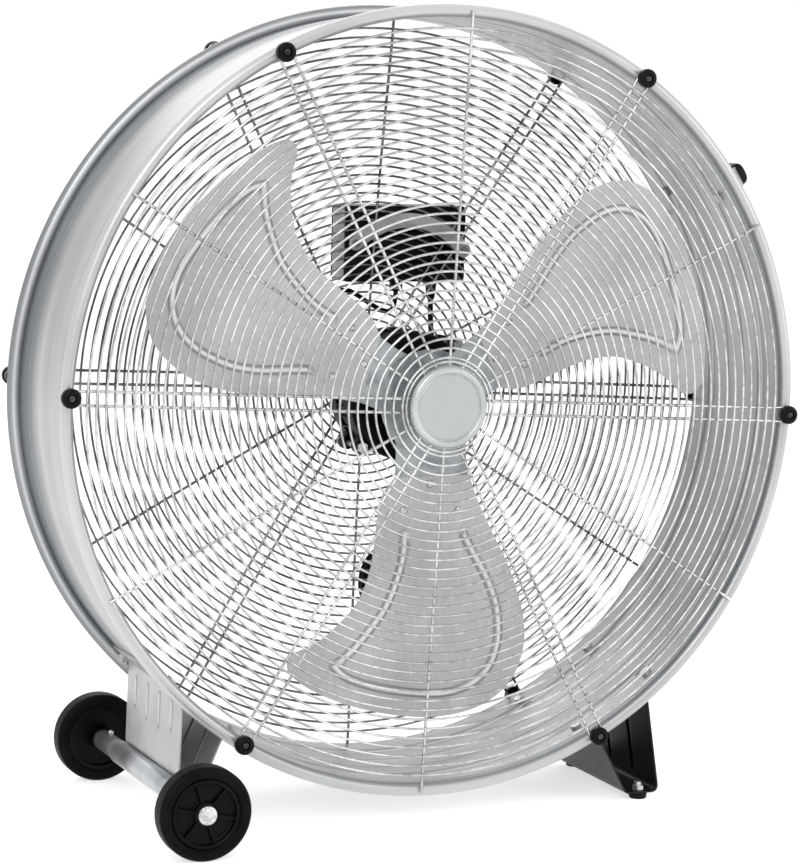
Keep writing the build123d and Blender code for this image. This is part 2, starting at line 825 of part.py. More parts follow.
def strap_screws():
    length = box_front + box_wall - strap_face
    return group(bolt(at, (0, 1, 0), screw_radius, length, screw_head_radius, screw_head_height)
                 for at in strap_screw_points(strap_face))


def cable_gland():
    at = (cable_exit[0], cable_exit[1], box_bottom)
    return prism(at, (0, 0, -1), gland_radius, gland_length, gland_sides)


def lead_gland():
    """The tapered strain relief under the box."""
    x, y = lead_exit
    top = Plane(origin=(x, y, box_bottom), z_dir=(0, 0, -1))
    return loft([top * RegularPolygon(gland_radius, gland_sides),
                 top.offset(lead_gland_length) * RegularPolygon(lead_gland_tip, gland_sides)], ruled=True)


# ================================================================ cords
def corner_radii(points):
    """The radius at each corner: a share of the shorter run over the tangent of half the turn."""
    radii = []
    for a, b, c in zip(points, points[1:], points[2:]):
        one, two = Vector(*b) - Vector(*a), Vector(*c) - Vector(*b)
        half_turn = radians(one.get_angle(two)) / 2
        radii.append(arc_share * min(one.length, two.length) / tan(half_turn))
    return radii


def cord_tube(points, diameter, name):
    """A tube along straight runs and tangent arcs, with its radii and volume printed."""
    radii = corner_radii(points)
    path = FilletPolyline(*points, radius=radii)
    start = Plane(origin=points[0], z_dir=Vector(*points[1]) - Vector(*points[0]))
    section = RegularPolygon(diameter / 2, cord_sides)
    tube = sweep(start * section, path)
    share = tube.volume / (section.area * path.length)
    print(f"{name}: radii {[round(r) for r in radii]} mm, length {path.length:.0f} mm, "
          f"volume share {share:.3f}")
    return tube


def behind_box(points):
    return [(x, box_front + depth, z) for x, depth, z in points]


def lead_route():
    """The mains lead from its strain relief down behind the motor to the coil."""
    x, y = lead_exit
    down = coil_centre[0] + coil_outer
    return [
        (x, y, box_bottom - lead_gland_length), *behind_box(lead_bends),
        (down, coil_seat, lead_straight_from), (down, coil_seat, coil_centre[1] + lead_diameter),
    ]


def cable_route():
    """The motor cable: a loop under the box, then forward through the guard into the motor's back."""
    x, y = cable_exit
    entry_x, entry_z = on_drum(cable_entry_angle, cable_entry_radius)
    return [
        (x, y, box_bottom - gland_length), *behind_box(cable_bends), (entry_x, cable_drop_y, entry_z),
        (entry_x, motor_back(), entry_z),
    ]


def coil_point(turn):
    """A point of the coil's path: a spiral in and out again that climbs where it reverses."""
    middle = coil_turns / 2
    radius = coil_outer - coil_step * (middle - abs(turn - middle))
    climb = min(max((turn - middle) / coil_climb_turns + 0.5, 0.0), 1.0)
    y = coil_seat + coil_layer_step * climb * climb * (3 - 2 * climb)
    angle = -2 * pi * turn
    return Vector(coil_centre[0] + radius * cos(angle), y, coil_centre[1] + radius * sin(angle))


def coil_tangent(turn):
    step = 1e-4
    return (coil_point(turn + step) - coil_point(turn - step)).normalized()


def biarc(start, start_dir, end, end_dir):
    """Two arcs that meet smoothly and keep the directions at both ends."""
    chord = end - start
    both = start_dir + end_dir
    spread = 2 * (1 - start_dir.dot(end_dir))
    along = chord.dot(both)
    arm = (-along + sqrt(along ** 2 + spread * chord.dot(chord))) / spread
    meet = (start + end + (start_dir - end_dir) * arm) * 0.5
    return [TangentArc(start, meet, tangent=start_dir),
            TangentArc(end, meet, tangent=end_dir * -1)]


def coil_path():
    stations = [i / coil_stations_per_turn for i in range(coil_turns * coil_stations_per_turn + 1)]
    down = Vector(0, 0, -1)
    tangents = [down] + [coil_tangent(t) for t in stations[1:-1]] + [down]
    edges = [Line(coil_point(0) - down * lead_diameter, coil_point(0))]
    for (t0, d0), (t1, d1) in zip(zip(stations, tangents), zip(stations[1:], tangents[1:])):
        edges += biarc(coil_point(t0), d0, coil_point(t1), d1)
    last = coil_point(coil_turns)
    edges.append(Line(last, last + down * coil_end_run))
    return edges


def coil_least_gap():
    """The least clear distance between turns, measured on points along the path."""
    per_turn = 48
    points = [coil_point(i / per_turn) for i in range(coil_turns * per_turn + 1)]
    apart = per_turn // 2    # points this far along the path may be on neighbouring turns
    least = min((a - b).length for i, a in enumerate(points) for b in points[i + apart:])
    return least - lead_diameter


def mains_lead_coil():
    """The put-away length as one unbroken faceted tube, with real turns in two layers."""
    path = Wire(coil_path())
    start = Plane(origin=path.position_at(0), z_dir=(0, 0, -1))
    section = RegularPolygon(lead_diameter / 2, coil_sides)
    coil = sweep(start * section, path)
    print(f"mains_lead_coil: least gap {coil_least_gap():.2f} mm, length {path.length:.0f} mm, "
          f"volume share {coil.volume / (section.area * path.length):.3f}")
    return coil


def plug_top():
    last = coil_point(coil_turns)
    return Vector(last.X, last.Y, last.Z - coil_end_run)


def mains_plug():
    """A moulded two-pin plug that hangs from the end of the lead."""
    top = Plane(origin=plug_top(), z_dir=(0, 0, -1))
    relief = loft([top * RegularPolygon(lead_gland_tip, gland_sides),
                   top.offset(plug_relief_length) * RegularPolygon(gland_radius, gland_sides)], ruled=True)
    body_top = top.offset(plug_relief_length)
    body = extrude(body_top * RegularPolygon(plug_body_radius, round_sides), plug_body_length)
    pins = [extrude(body_top.offset(plug_body_length) * Pos(side * plug_pin_spacing / 2, 0)
                    * RegularPolygon(plug_pin_radius, cord_sides), plug_pin_length) for side in (-1, 1)]
    return relief + body + pins


def lead_tie():
    """A strap round the top of the coil and the guard ring behind it."""
    middle = coil_outer - coil_step * coil_turns / 4
    half_height = coil_step * coil_turns / 4 + lead_diameter / 2 + tie_room
    near = guard_seat + dome_height(-coil_centre[1] - middle, rear_dome) - tie_room
    far = coil_seat + coil_layer_step + lead_diameter / 2 + tie_room
    z = coil_centre[1] + middle
    inner = Box(2 * tie_width, far - near, 2 * half_height)
    outer = Box(tie_width, far - near + 2 * tie_thickness, 2 * (half_height + tie_thickness))
    return Pos(coil_centre[0], (near + far) / 2, z) * (outer - inner)


# ================================================================ brackets and feet
def flange_line(bolt_angle, offsets):
    """Points on the flat flange that touches the drum under its bolt."""
    x, z = on_drum(bolt_angle)
    tangent = (-sin(radians(bolt_angle)), cos(radians(bolt_angle)))
    half = drum_outer_radius * radians(flange_half_angle)
    return [(x + o * half * tangent[0], z + o * half * tangent[1]) for o in offsets]


def bracket_bolt_places():
    """Angle and Y of each bolt that fixes a bracket to the drum."""
    angles = (foot_left_bolt, foot_right_bolt, wheel_outer_bolt, wheel_inner_bolt)
    return [(a, side * bracket_bolt_y) for a in angles for side in (-1, 1)]


def handle_bolt_places():
    return [(handle_angle, side * handle_bolt_y) for side in (-1, 1)]


def radial_peg(angle, y, radius, length, start, sides=8):
    """A flat-sided bar along a radius of the drum, starting at a radius."""
    x, z = on_drum(angle, start)
    return prism((x, y, z), (cos(radians(angle)), 0, sin(radians(angle))), radius, length, sides)


def bolt_holes():
    places = bracket_bolt_places() + handle_bolt_places()
    return [radial_peg(a, y, bolt_shank_radius + hole_clearance, 2 * cutter_reach,
                       drum_inner_radius - cutter_reach)
            for a, y in places]


def drum_bolt(angle, y, grip):
    """A bolt with its head inside the drum and its nut outside what it holds."""
    nut_start = drum_outer_radius + grip
    shank_start = drum_inner_radius - hole_clearance
    length = nut_start + bolt_nut_height + bolt_tail - shank_start
    shank = radial_peg(angle, y, bolt_shank_radius, length, shank_start)
    head = radial_peg(angle, y, bolt_head_radius, bolt_head_height, shank_start - bolt_head_height, 6)
    nut = radial_peg(angle, y, bolt_head_radius, bolt_nut_height, nut_start + nut_gap, 6)
    return shank + head + nut


def bracket_bolts():
    return group(drum_bolt(a, y, sheet) for a, y in bracket_bolt_places())


def handle_bolts():
    return group(drum_bolt(a, y, handle_strip) for a, y in handle_bolt_places())


def pressed_ribs(start, end, spans):
    """Raised pressings on the outside of a plate that is seen edge-on from start to end."""
    (x0, z0), (x1, z1) = start, end
    run = hypot(x1 - x0, z1 - z0)
    out = ((z1 - z0) / run, (x0 - x1) / run)
    lift = sheet + (rib_press_height - rib_press_root) / 2
    ribs = []
    for y, share_from, share_to in spans:
        middle = (share_from + share_to) / 2
        at = (x0 + middle * (x1 - x0) + lift * out[0], y, z0 + middle * (z1 - z0) + lift * out[1])
        bar = Box((share_to - share_from) * run, rib_press_width, rib_press_height + rib_press_root)
        ribs.append(Pos(at) * Rot(0, -degrees(atan2(z1 - z0, x1 - x0)), 0) * bar)
    return ribs


def foot_bracket():
    """A trough of folded sheet: two legs from the drum to a flat bottom that holds the feet."""
    bottom = floor_level + foot_height + sheet
    path = (flange_line(foot_left_bolt, (-1, 1))
            + [(foot_x - foot_half_width, bottom), (foot_x + foot_half_width, bottom)]
            + flange_line(foot_right_bolt, (-1, 1)))
    body = folded_strip(path, sheet, bracket_half_length)
    body += pressed_ribs(path[3], path[4], foot_rib_spans)
    body -= [prism((foot_x, y, bottom - sheet), (0, 0, 1), bolt_shank_radius + hole_clearance, sheet)
             for y in (-foot_y, foot_y)]
    return body - bolt_holes()


def rubber_feet():
    feet = []
    for y in (-foot_y, foot_y):
        base = Plane(origin=(foot_x, y, floor_level))
        top = base.offset(foot_height)
        feet.append(loft([base * Circle(foot_radius - foot_taper), top * Circle(foot_radius)])
                    - prism((foot_x, y, floor_level + foot_height / 2), (0, 0, 1),
                            bolt_shank_radius + hole_clearance, foot_height))
    return group(feet)


def foot_bolts():
    top = floor_level + foot_height + sheet
    length = sheet + foot_height / 2
    return group(bolt((foot_x, y, top), (0, 0, -1), bolt_shank_radius, length,
                      bolt_head_radius, bolt_head_height) for y in (-foot_y, foot_y))


def wheel_bracket():
    """A V of folded sheet whose narrow bottom is welded along the axle tube."""
    normal = (cos(radians(bracket_web_angle)), sin(radians(bracket_web_angle)))
    along = (normal[1], -normal[0])
    reach = axle_sleeve_radius + sheet
    seat = (wheel_x + reach * normal[0], wheel_height + reach * normal[1])
    left = tuple(s - bracket_web_left * a for s, a in zip(seat, along))
    right = tuple(s + bracket_web_right * a for s, a in zip(seat, along))
    path = flange_line(wheel_outer_bolt, (-1, 1)) + [left, right] + flange_line(wheel_inner_bolt, (-1, 1))
    body = folded_strip(path, sheet, bracket_half_length)
    body += pressed_ribs(path[1], path[2], wheel_outer_rib_spans)
    body += pressed_ribs(path[3], path[4], wheel_inner_rib_spans)
    return body - bolt_holes()


# ================================================================ axle and wheels
def wheel_spun(points):
    """A solid turned about the wheels' axle from (radius, y) points."""
    return Pos(wheel_x, 0, wheel_height) * spun(points)


def axle_tube_end():
    return wheel_outer_face - wheel_width - wheel_boss_reach - axle_gap


def axle_tube():
    end = axle_tube_end()
    sleeve = axle_sleeve_half_length
    return wheel_spun([
        (axle_tube_bore, -end), (axle_tube_radius, -end), (axle_tube_radius, -sleeve),
        (axle_sleeve_radius, -sleeve), (axle_sleeve_radius, sleeve), (axle_tube_radius, sleeve),
        (axle_tube_radius, end), (axle_tube_bore, end),
    ])


def axle_bushes():
    end = axle_tube_end()
    return group(wheel_spun([(axle_radius, s * end), (axle_tube_bore, s * end),
                             (axle_tube_bore, s * (end - axle_bush_length)),
                             (axle_radius, s * (end - axle_bush_length))]) for s in (-1, 1))


def axle_rod():
    end = wheel_outer_face + axle_gap + cap_skin
    return wheel_spun([(0, -end), (axle_radius, -end), (axle_radius, end), (0, end)])


def axle_caps():
    """Push caps on the axle's ends, just clear of the wheels."""
    near = wheel_outer_face + axle_gap
    end = near + cap_depth
    rod_end = near + cap_skin
    return group(wheel_spun([(axle_radius, s * near), (cap_radius, s * near), (cap_radius, s * rod_end),
                             (cap_radius - cap_skin, s * end), (0, s * end), (0, s * rod_end),
                             (axle_radius, s * rod_end)]) for s in (-1, 1))


def wheel_tyre(side):
    outer = side * wheel_outer_face
    inner = side * (wheel_outer_face - wheel_width)
    step = side * tyre_chamfer
    rim = wheel_radius - tyre_depth
    return wheel_spun([
        (rim, outer), (wheel_radius - tyre_chamfer, outer), (wheel_radius, outer - step),
        (wheel_radius, inner + step), (wheel_radius - tyre_chamfer, inner), (rim, inner),
    ])


def wheel_hub(side):
    """Boss, thin web, rim and six ribs, turned on the axle."""
    outer = side * wheel_outer_face
    inner = side * (wheel_outer_face - wheel_width)
    boss_end = inner - side * wheel_boss_reach
    middle = (outer + inner) / 2
    rim = wheel_radius - tyre_depth
    bore = axle_radius + wheel_bore_fit
    web = side * wheel_web / 2
    body = wheel_spun([
        (bore, outer), (wheel_boss_radius, outer), (wheel_boss_radius, middle + web),
        (rim - wheel_rim, middle + web), (rim - wheel_rim, outer), (rim, outer), (rim, inner),
        (rim - wheel_rim, inner), (rim - wheel_rim, middle - web), (wheel_boss_radius, middle - web),
        (wheel_boss_radius, boss_end), (bore, boss_end),
    ])
    depth = wheel_width / 2 - wheel_rim
    length = rim - wheel_rim - wheel_boss_radius + 2 * wheel_rib_root
    rib = (Pos(wheel_boss_radius - wheel_rib_root + length / 2, middle + side * depth / 2, 0)
           * Box(length, depth, wheel_rib_width))
    ribs = [Pos(wheel_x, 0, wheel_height) * Rot(0, i * 360 / wheel_rib_count, 0) * rib
            for i in range(wheel_rib_count)]
    return body + ribs


# ================================================================ handle
def handle_frame(shape):
    """Places a shape drawn with X along the drum's axis and Z out from its wall."""
    return around(handle_angle) * Pos(drum_outer_radius, 0, 0) * Rot(0, 90, 0) * Rot(0, 0, 90) * shape


def handle_strip_path():
    foot_out = handle_bolt_y + handle_foot_half
    foot_in = handle_bolt_y - handle_foot_half
    return [(-foot_out, 0), (-foot_in, 0), (-handle_top_half, handle_rise), (handle_top_half, handle_rise),
            (foot_in, 0), (foot_out, 0)]


def handle_bracket():
    """A folded steel strip with two feet on the drum."""
    path = [(x, z) for x, z in reversed(handle_strip_path())]
    strip = folded_strip(path, handle_strip, handle_width / 2)
    return handle_frame(strip) - bolt_holes()


def handle_grip():
    """The moulded sleeve round the middle of the strip."""
    z = handle_rise + handle_strip / 2
    sleeve = Pos(-grip_half_length, 0, z) * Rot(0, 90, 0) * extrude(
        Ellipse(grip_radius, grip_half_width), 2 * grip_half_length)
    slot = Pos(0, 0, z) * Box(2 * grip_half_length + cutter_reach, handle_width + 2 * grip_seat,
                              handle_strip + 2 * grip_seat)
    return handle_frame(sleeve - slot)


# ================================================================ all pieces
def parts():
    yield "drum_shell", drum_shell()
    for name, side, dome in (("front", -1, front_dome), ("rear", 1, rear_dome)):
        yield f"{name}_guard_spokes", guard_spokes(side, dome)
        yield f"{name}_guard_rings", guard_rings(side, dome)
        yield f"{name}_guard_knobs", around_rim(guard_knob(side))
        yield f"{name}_guard_screws", around_rim(guard_screw(side))
    yield "badge_disc", badge_disc()
    for number, angle in enumerate(blade_angles(), 1):
        yield f"blade_{number}", blade(angle)
    yield "blade_spider", spider()
    yield "blade_rivets", blade_rivets()
    yield "hub_boss", hub_boss()
    yield "hub_bolts", hub_bolts()
    yield "hub_nut", hub_nut()
    yield "motor_shaft", motor_shaft()
    yield "motor_rotor_core", motor_rotor_core()
    yield "front_bearing", bearing(front_bearing_front())
    yield "rear_bearing", bearing(rear_bearing_front())
    yield "motor_front_bell", bell_with_ears(motor_front, 1)
    yield "motor_rear_bell", bell_with_ears(motor_back(), -1)
    yield "motor_shell", motor_shell()
    yield "stator_core", stator_core()
    yield "stator_windings", stator_windings()
    yield "motor_tie_bolts", motor_tie_bolts()
    yield "motor_mount_plate", motor_mount_plate()
    yield "motor_mount_bolts", motor_mount_bolts()
    yield "control_box", control_box()
    yield "box_cover", box_cover()
    yield "rotary_switch", rotary_switch()
    yield "run_capacitor", run_capacitor()
    yield "speed_knob", speed_knob()
    yield "box_strap", box_strap()
    yield "strap_screws", strap_screws()
    yield "cable_gland", cable_gland()
    yield "lead_gland", lead_gland()
    yield "motor_cable", cord_tube(cable_route(), motor_cable_diameter, "motor_cable")
    yield "mains_lead", cord_tube(lead_route(), lead_diameter, "mains_lead")
    yield "mains_lead_coil", mains_lead_coil()
    yield "mains_plug", mains_plug()
    yield "lead_tie", lead_tie()
    yield "foot_bracket", foot_bracket()
    yield "rubber_feet", rubber_feet()
    yield "foot_bolts", foot_bolts()
    yield "wheel_bracket", wheel_bracket()
    yield "bracket_bolts", bracket_bolts()
    yield "axle_tube", axle_tube()
    yield "axle_bushes", axle_bushes()
    yield "axle_rod", axle_rod()
    yield "axle_caps", axle_caps()
    for name, side in (("front", -1), ("rear", 1)):
        yield f"{name}_wheel_tyre", wheel_tyre(side)
        yield f"{name}_wheel_hub", wheel_hub(side)
    yield "handle_bracket", handle_bracket()
    yield "handle_grip", handle_grip()
    yield "handle_bolts", handle_bolts()


for node, shape in parts():
    export_step(Pos(0, 0, axis_height) * shape, f"parts/{node}.step")
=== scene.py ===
"""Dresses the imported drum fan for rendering: finishes, full wire guards, cords, lights and camera.

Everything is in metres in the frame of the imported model. The fan's axis runs along Y at a
height above the floor, the front guard faces -Y, and angles are counter-clockwise as seen from
the front.
"""

from __future__ import annotations

import json
import logging
import math
from dataclasses import dataclass, field, replace
from enum import Enum
from typing import Callable, Iterable, Sequence

import bmesh
import bpy
import numpy as np
from mathutils import Matrix, Vector

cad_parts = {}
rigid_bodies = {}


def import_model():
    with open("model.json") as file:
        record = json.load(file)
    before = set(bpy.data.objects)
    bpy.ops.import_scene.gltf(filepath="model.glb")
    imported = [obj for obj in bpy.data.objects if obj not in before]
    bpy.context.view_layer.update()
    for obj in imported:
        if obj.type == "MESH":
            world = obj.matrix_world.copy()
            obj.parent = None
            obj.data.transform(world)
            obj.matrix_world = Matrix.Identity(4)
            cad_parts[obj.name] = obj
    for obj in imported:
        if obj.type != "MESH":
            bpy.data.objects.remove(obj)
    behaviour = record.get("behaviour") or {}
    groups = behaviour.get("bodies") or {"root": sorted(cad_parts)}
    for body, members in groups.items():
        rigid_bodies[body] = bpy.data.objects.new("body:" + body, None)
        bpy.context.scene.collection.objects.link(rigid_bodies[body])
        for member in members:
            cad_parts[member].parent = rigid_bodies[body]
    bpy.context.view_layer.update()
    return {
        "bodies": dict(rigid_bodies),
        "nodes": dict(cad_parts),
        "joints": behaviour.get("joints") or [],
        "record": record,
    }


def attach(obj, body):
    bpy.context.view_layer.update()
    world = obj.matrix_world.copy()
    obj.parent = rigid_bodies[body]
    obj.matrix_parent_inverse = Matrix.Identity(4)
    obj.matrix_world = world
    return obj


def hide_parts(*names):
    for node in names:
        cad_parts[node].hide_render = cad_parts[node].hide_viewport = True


LOG = logging.getLogger("drum_fan")

MM = 0.001
AXIS_HEIGHT = 0.492
PAINTED_LIGHT_LAYER = "painted_light"                # UV layer with each point's share of painted highlight and of painted shade
Point = tuple[float, float, float]
Pair = tuple[float, float]
Colour = tuple[float, float, float]


class Body(str, Enum):
    """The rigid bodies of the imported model."""

    HOUSING = "housing"
    ROTOR = "rotor"
    FRONT_WHEEL = "front_wheel"
    REAR_WHEEL = "rear_wheel"
    SPEED_DIAL = "speed_dial"


class Grain(Enum):
    """How a finish's streaks run over the surface."""

    EVEN = "even"
    ROUND_THE_DRUM = "round the drum"
    ALONG = "along one direction"
    ROUND_THE_AXLE = "round the axle"


# --------------------------------------------------------------------------- shader maths


class Sock:
    """A shader value that takes part in sums, so a material reads as a formula."""

    def __init__(self, tree: bpy.types.NodeTree, source: bpy.types.NodeSocket | float) -> None:
        """Wraps a value."""
        self.tree = tree
        self.source = source

    def feed(self, socket: bpy.types.NodeSocket) -> None:
        """Sets or links a socket to this value.

        Args:
            socket: The input to feed.
        """
        if isinstance(self.source, (int, float)):
            socket.default_value = self.source
        else:
            self.tree.links.new(self.source, socket)

    def _math(self, operation: str, *others: Sock | float, clamp: bool = False) -> Sock:
        """A Math node on this value.

        Args:
            operation: Its operation.
            *others: The other values that it takes.
            clamp: Whether the result is held between 0 and 1.

        Returns:
            The result.
        """
        node = self.tree.nodes.new("ShaderNodeMath")
        node.operation = operation
        node.use_clamp = clamp
        self.feed(node.inputs[0])
        for index, other in enumerate(others, 1):
            value = other if isinstance(other, Sock) else Sock(self.tree, float(other))
            value.feed(node.inputs[index])
        return Sock(self.tree, node.outputs[0])

    def __add__(self, other: Sock | float) -> Sock:
        """The sum of two values."""
        return self._math("ADD", other)

    def __sub__(self, other: Sock | float) -> Sock:
        """This value less another."""
        return self._math("SUBTRACT", other)

    def __mul__(self, other: Sock | float) -> Sock:
        """The product of two values."""
        return self._math("MULTIPLY", other)

    def __truediv__(self, other: Sock | float) -> Sock:
        """This value over another."""
        return self._math("DIVIDE", other)

    def root(self) -> Sock:
        """The square root."""
        return self._math("SQRT")

    def limited(self) -> Sock:
        """The value held between 0 and 1."""
        return self._math("ADD", 0.0, clamp=True)

    def eased(self, low: float, high: float) -> Sock:
        """A smooth step from 0 below low to 1 above high.

        Args:
            low: Where the step starts.
            high: Where it ends.

        Returns:
            The step's value.
        """
        node = self.tree.nodes.new("ShaderNodeMapRange")
        node.interpolation_type = "SMOOTHSTEP"
        self.feed(node.inputs["Value"])
        node.inputs["From Min"].default_value = low
        node.inputs["From Max"].default_value = high
        return Sock(self.tree, node.outputs["Result"])


@dataclass(frozen=True)
class Finish:
    """What a surface is made of and how it is worn.

    Attributes:
        slot: The record's material slot; not used.
        dark: Colour in the darker streaks and patches.
        light: Colour elsewhere.
        metallic: 1 for bare metal.
        rough: Roughness from the smoothest to the dullest place.
        grain: How the streaks run.
        scale: Streaks per metre across the grain.
        stretch: How much longer a streak is than wide.
        contrast: How strongly streaks mix the two colours.
        mottle: Patches per metre of the slow colour change.
        bump: Height of the texture in metres.
        coat: Weight of a clear coat.
        turn: Angle of the grain in degrees, for grain along one direction.
        banding: Share of slow change round the drum, which tells rolled sheet.
        gloss: Strength of the mirror light on a surface that isn't metal.
        painted_highlight: Colour of the painted highlight where a pressing stands proud, on a shape with a
            layer of painted light.
        painted_shade: Colour of the painted shade at a pressing's foot, on the same shapes.
    """

    slot: str
    dark: Colour
    light: Colour
    metallic: float = 0.0
    rough: Pair = (0.4, 0.5)
    grain: Grain = Grain.EVEN
    scale: float = 300.0
    stretch: float = 1.0
    contrast: float = 0.5
    mottle: float = 20.0
    bump: float = 0.00005
    coat: float = 0.0
    turn: float = 0.0
    banding: float = 0.0
    gloss: float = 0.5
    painted_highlight: Colour | None = None
    painted_shade: Colour | None = None


class Painter:
    """Builds node materials from finishes and remembers them by name."""

    def __init__(self) -> None:
        """Starts with no material."""
        self.made: dict[str, bpy.types.Material] = {}

    def material(self, name: str, finish: Finish) -> bpy.types.Material:
        """A material for a finish, made once.

        Args:
            name: The material's name.
            finish: What it shows.

        Returns:
            The Blender material.
        """
        if name in self.made:
            return self.made[name]
        made = bpy.data.materials.new(name)
        made.use_nodes = True
        tree = made.node_tree
        tree.nodes.clear()
        output = tree.nodes.new("ShaderNodeOutputMaterial")
        shader = tree.nodes.new("ShaderNodeBsdfPrincipled")
        tree.links.new(shader.outputs[0], output.inputs[0])
        shader.inputs["Metallic"].default_value = finish.metallic
        shader.inputs["Coat Weight"].default_value = finish.coat
        shader.inputs["Specular IOR Level"].default_value = finish.gloss
        streaks = self._noise(tree, self._grain_vector(tree, finish), 1.0, 3.0, 0.6)
        patches = self._noise(tree, self._plain_vector(tree, finish.mottle), 1.0, 2.0, 0.5)
        tone = (streaks - 0.5) * finish.contrast * 2.0 + patches
        if finish.banding:
            bands = self._noise(tree, self._band_vector(tree), 1.0, 1.0, 0.4)
            tone = tone + (bands - 0.5) * finish.banding * 2.0
        colour = self._mix(tree, tone.eased(0.22, 0.78), finish.dark, finish.light)
        # Painted light: where the piece's UV layer says so, the colour turns to the painted shade colour and
        # then to the painted highlight colour.
        if finish.painted_highlight and finish.painted_shade:
            proud, foot = self._painted_light(tree)
            colour = self._mix(tree, foot, colour, finish.painted_shade)
            colour = self._mix(tree, proud, colour, finish.painted_highlight)
        tree.links.new(colour, shader.inputs["Base Color"])
        low, high = finish.rough
        (patches * (high - low) + low + (streaks - 0.5) * 0.06).feed(shader.inputs["Roughness"])
        self._bump(tree, streaks, finish.bump, shader)
        made.diffuse_color = (*finish.light, 1.0)
        self.made[name] = made
        return made

    @staticmethod
    def _mix(tree: bpy.types.NodeTree, share: Sock, low: Colour | bpy.types.NodeSocket,
             high: Colour) -> bpy.types.NodeSocket:
        """A blend of two colours.

        Args:
            tree: The material's nodes.
            share: How much of the second colour shows.
            low: The first colour, given or linked.
            high: The second colour.

        Returns:
            The blended colour.
        """
        node = tree.nodes.new("ShaderNodeMix")
        node.data_type = "RGBA"
        share.feed(node.inputs["Factor"])
        colours = [s for s in node.inputs if s.type == "RGBA"]
        if isinstance(low, tuple):
            colours[0].default_value = (*low, 1.0)
        else:
            tree.links.new(low, colours[0])
        colours[1].default_value = (*high, 1.0)
        return [s for s in node.outputs if s.type == "RGBA"][0]

    @staticmethod
    def _painted_light(tree: bpy.types.NodeTree) -> tuple[Sock, Sock]:
        """The piece's own layer of painted highlight and painted shade.

        Args:
            tree: The material's nodes.

        Returns:
            How much painted highlight the surface takes, and how much painted shade.
        """
        layer = tree.nodes.new("ShaderNodeUVMap")
        layer.uv_map = PAINTED_LIGHT_LAYER
        split = tree.nodes.new("ShaderNodeSeparateXYZ")
        tree.links.new(layer.outputs[0], split.inputs[0])
        return Sock(tree, split.outputs[0]), Sock(tree, split.outputs[1])

    @staticmethod
    def _bump(tree: bpy.types.NodeTree, height: Sock, depth: float,
              shader: bpy.types.ShaderNode) -> None:
        """Gives the shader's normal a fine relief.

        Args:
            tree: The material's nodes.
            height: The relief's pattern.
            depth: Its depth.
            shader: The surface's shader.
        """
        node = tree.nodes.new("ShaderNodeBump")
        node.inputs["Strength"].default_value = 0.6
        node.inputs["Distance"].default_value = depth
        height.feed(node.inputs["Height"])
        tree.links.new(node.outputs[0], shader.inputs["Normal"])

    @staticmethod
    def _noise(tree: bpy.types.NodeTree, vector: bpy.types.NodeSocket, scale: float,
               detail: float, roughness: float) -> Sock:
        """A noise pattern.

        Args:
            tree: The material's nodes.
            vector: Where it is read.
            scale: Its scale.
            detail: Its count of octaves.
            roughness: How strong the finer octaves are.

        Returns:
            The pattern, from 0 to 1.
        """
        node = tree.nodes.new("ShaderNodeTexNoise")
        node.inputs["Scale"].default_value = scale
        node.inputs["Detail"].default_value = detail
        node.inputs["Roughness"].default_value = roughness
        tree.links.new(vector, node.inputs["Vector"])
        return Sock(tree, node.outputs["Fac"])

    @staticmethod
    def _axes(tree: bpy.types.NodeTree) -> tuple[Sock, Sock, Sock]:
        """The place on the surface.

        Args:
            tree: The material's nodes.

        Returns:
            X, Y and Z in the fan's frame.
        """
        coords = tree.nodes.new("ShaderNodeTexCoord")
        split = tree.nodes.new("ShaderNodeSeparateXYZ")
        tree.links.new(coords.outputs["Object"], split.inputs[0])
        x, y, z = (Sock(tree, split.outputs[i]) for i in range(3))
        return x, y, z

    @staticmethod
    def _joined(tree: bpy.types.NodeTree, parts: Iterable[Sock]) -> bpy.types.NodeSocket:
        """Three values joined to a vector.

        Args:
            tree: The material's nodes.
            parts: The values.

        Returns:
            The vector.
        """
        join = tree.nodes.new("ShaderNodeCombineXYZ")
        for index, part in enumerate(parts):
            part.feed(join.inputs[index])
        return join.outputs[0]

    def _plain_vector(self, tree: bpy.types.NodeTree, scale: float) -> bpy.types.NodeSocket:
        """The place on the surface, scaled evenly."""
        x, y, z = self._axes(tree)
        return self._joined(tree, (x * scale, y * scale, z * scale))

    def _band_vector(self, tree: bpy.types.NodeTree) -> bpy.types.NodeSocket:
        """The place on the surface, stretched round the drum."""
        x, y, z = self._axes(tree)
        return self._joined(tree, (x * 2.0, y * 22.0, (z - AXIS_HEIGHT) * 2.0))

    def _grain_vector(self, tree: bpy.types.NodeTree, finish: Finish) -> bpy.types.NodeSocket:
        """The place on the surface, stretched along a finish's grain.

        Args:
            tree: The material's nodes.
            finish: The finish.

        Returns:
            The vector that its streaks are read at.
        """
        x, y, z = self._axes(tree)
        across, along = finish.scale, finish.scale / finish.stretch
        if finish.grain is Grain.EVEN:
            return self._joined(tree, (x * across, y * across, z * across))
        if finish.grain is Grain.ROUND_THE_DRUM:
            rise = z - AXIS_HEIGHT
            radius = (x * x + rise * rise).root()
            reach = along * 0.45
            around = (radius * across + x / radius * reach, y * across, rise / radius * reach)
            return self._joined(tree, around)
        if finish.grain is Grain.ROUND_THE_AXLE:
            side, rise = x - WHEEL_AXIS[0], z - WHEEL_AXIS[1]
            radius = (side * side + rise * rise).root()
            return self._joined(tree, (radius * across, y * along, Sock(tree, 0.0)))
        cos, sin = math.cos(math.radians(finish.turn)), math.sin(math.radians(finish.turn))
        rise = z - AXIS_HEIGHT
        run, cross = x * cos + rise * sin, rise * cos - x * sin
        return self._joined(tree, (run * along, y * across, cross * across))


# --------------------------------------------------------------------------- meshes


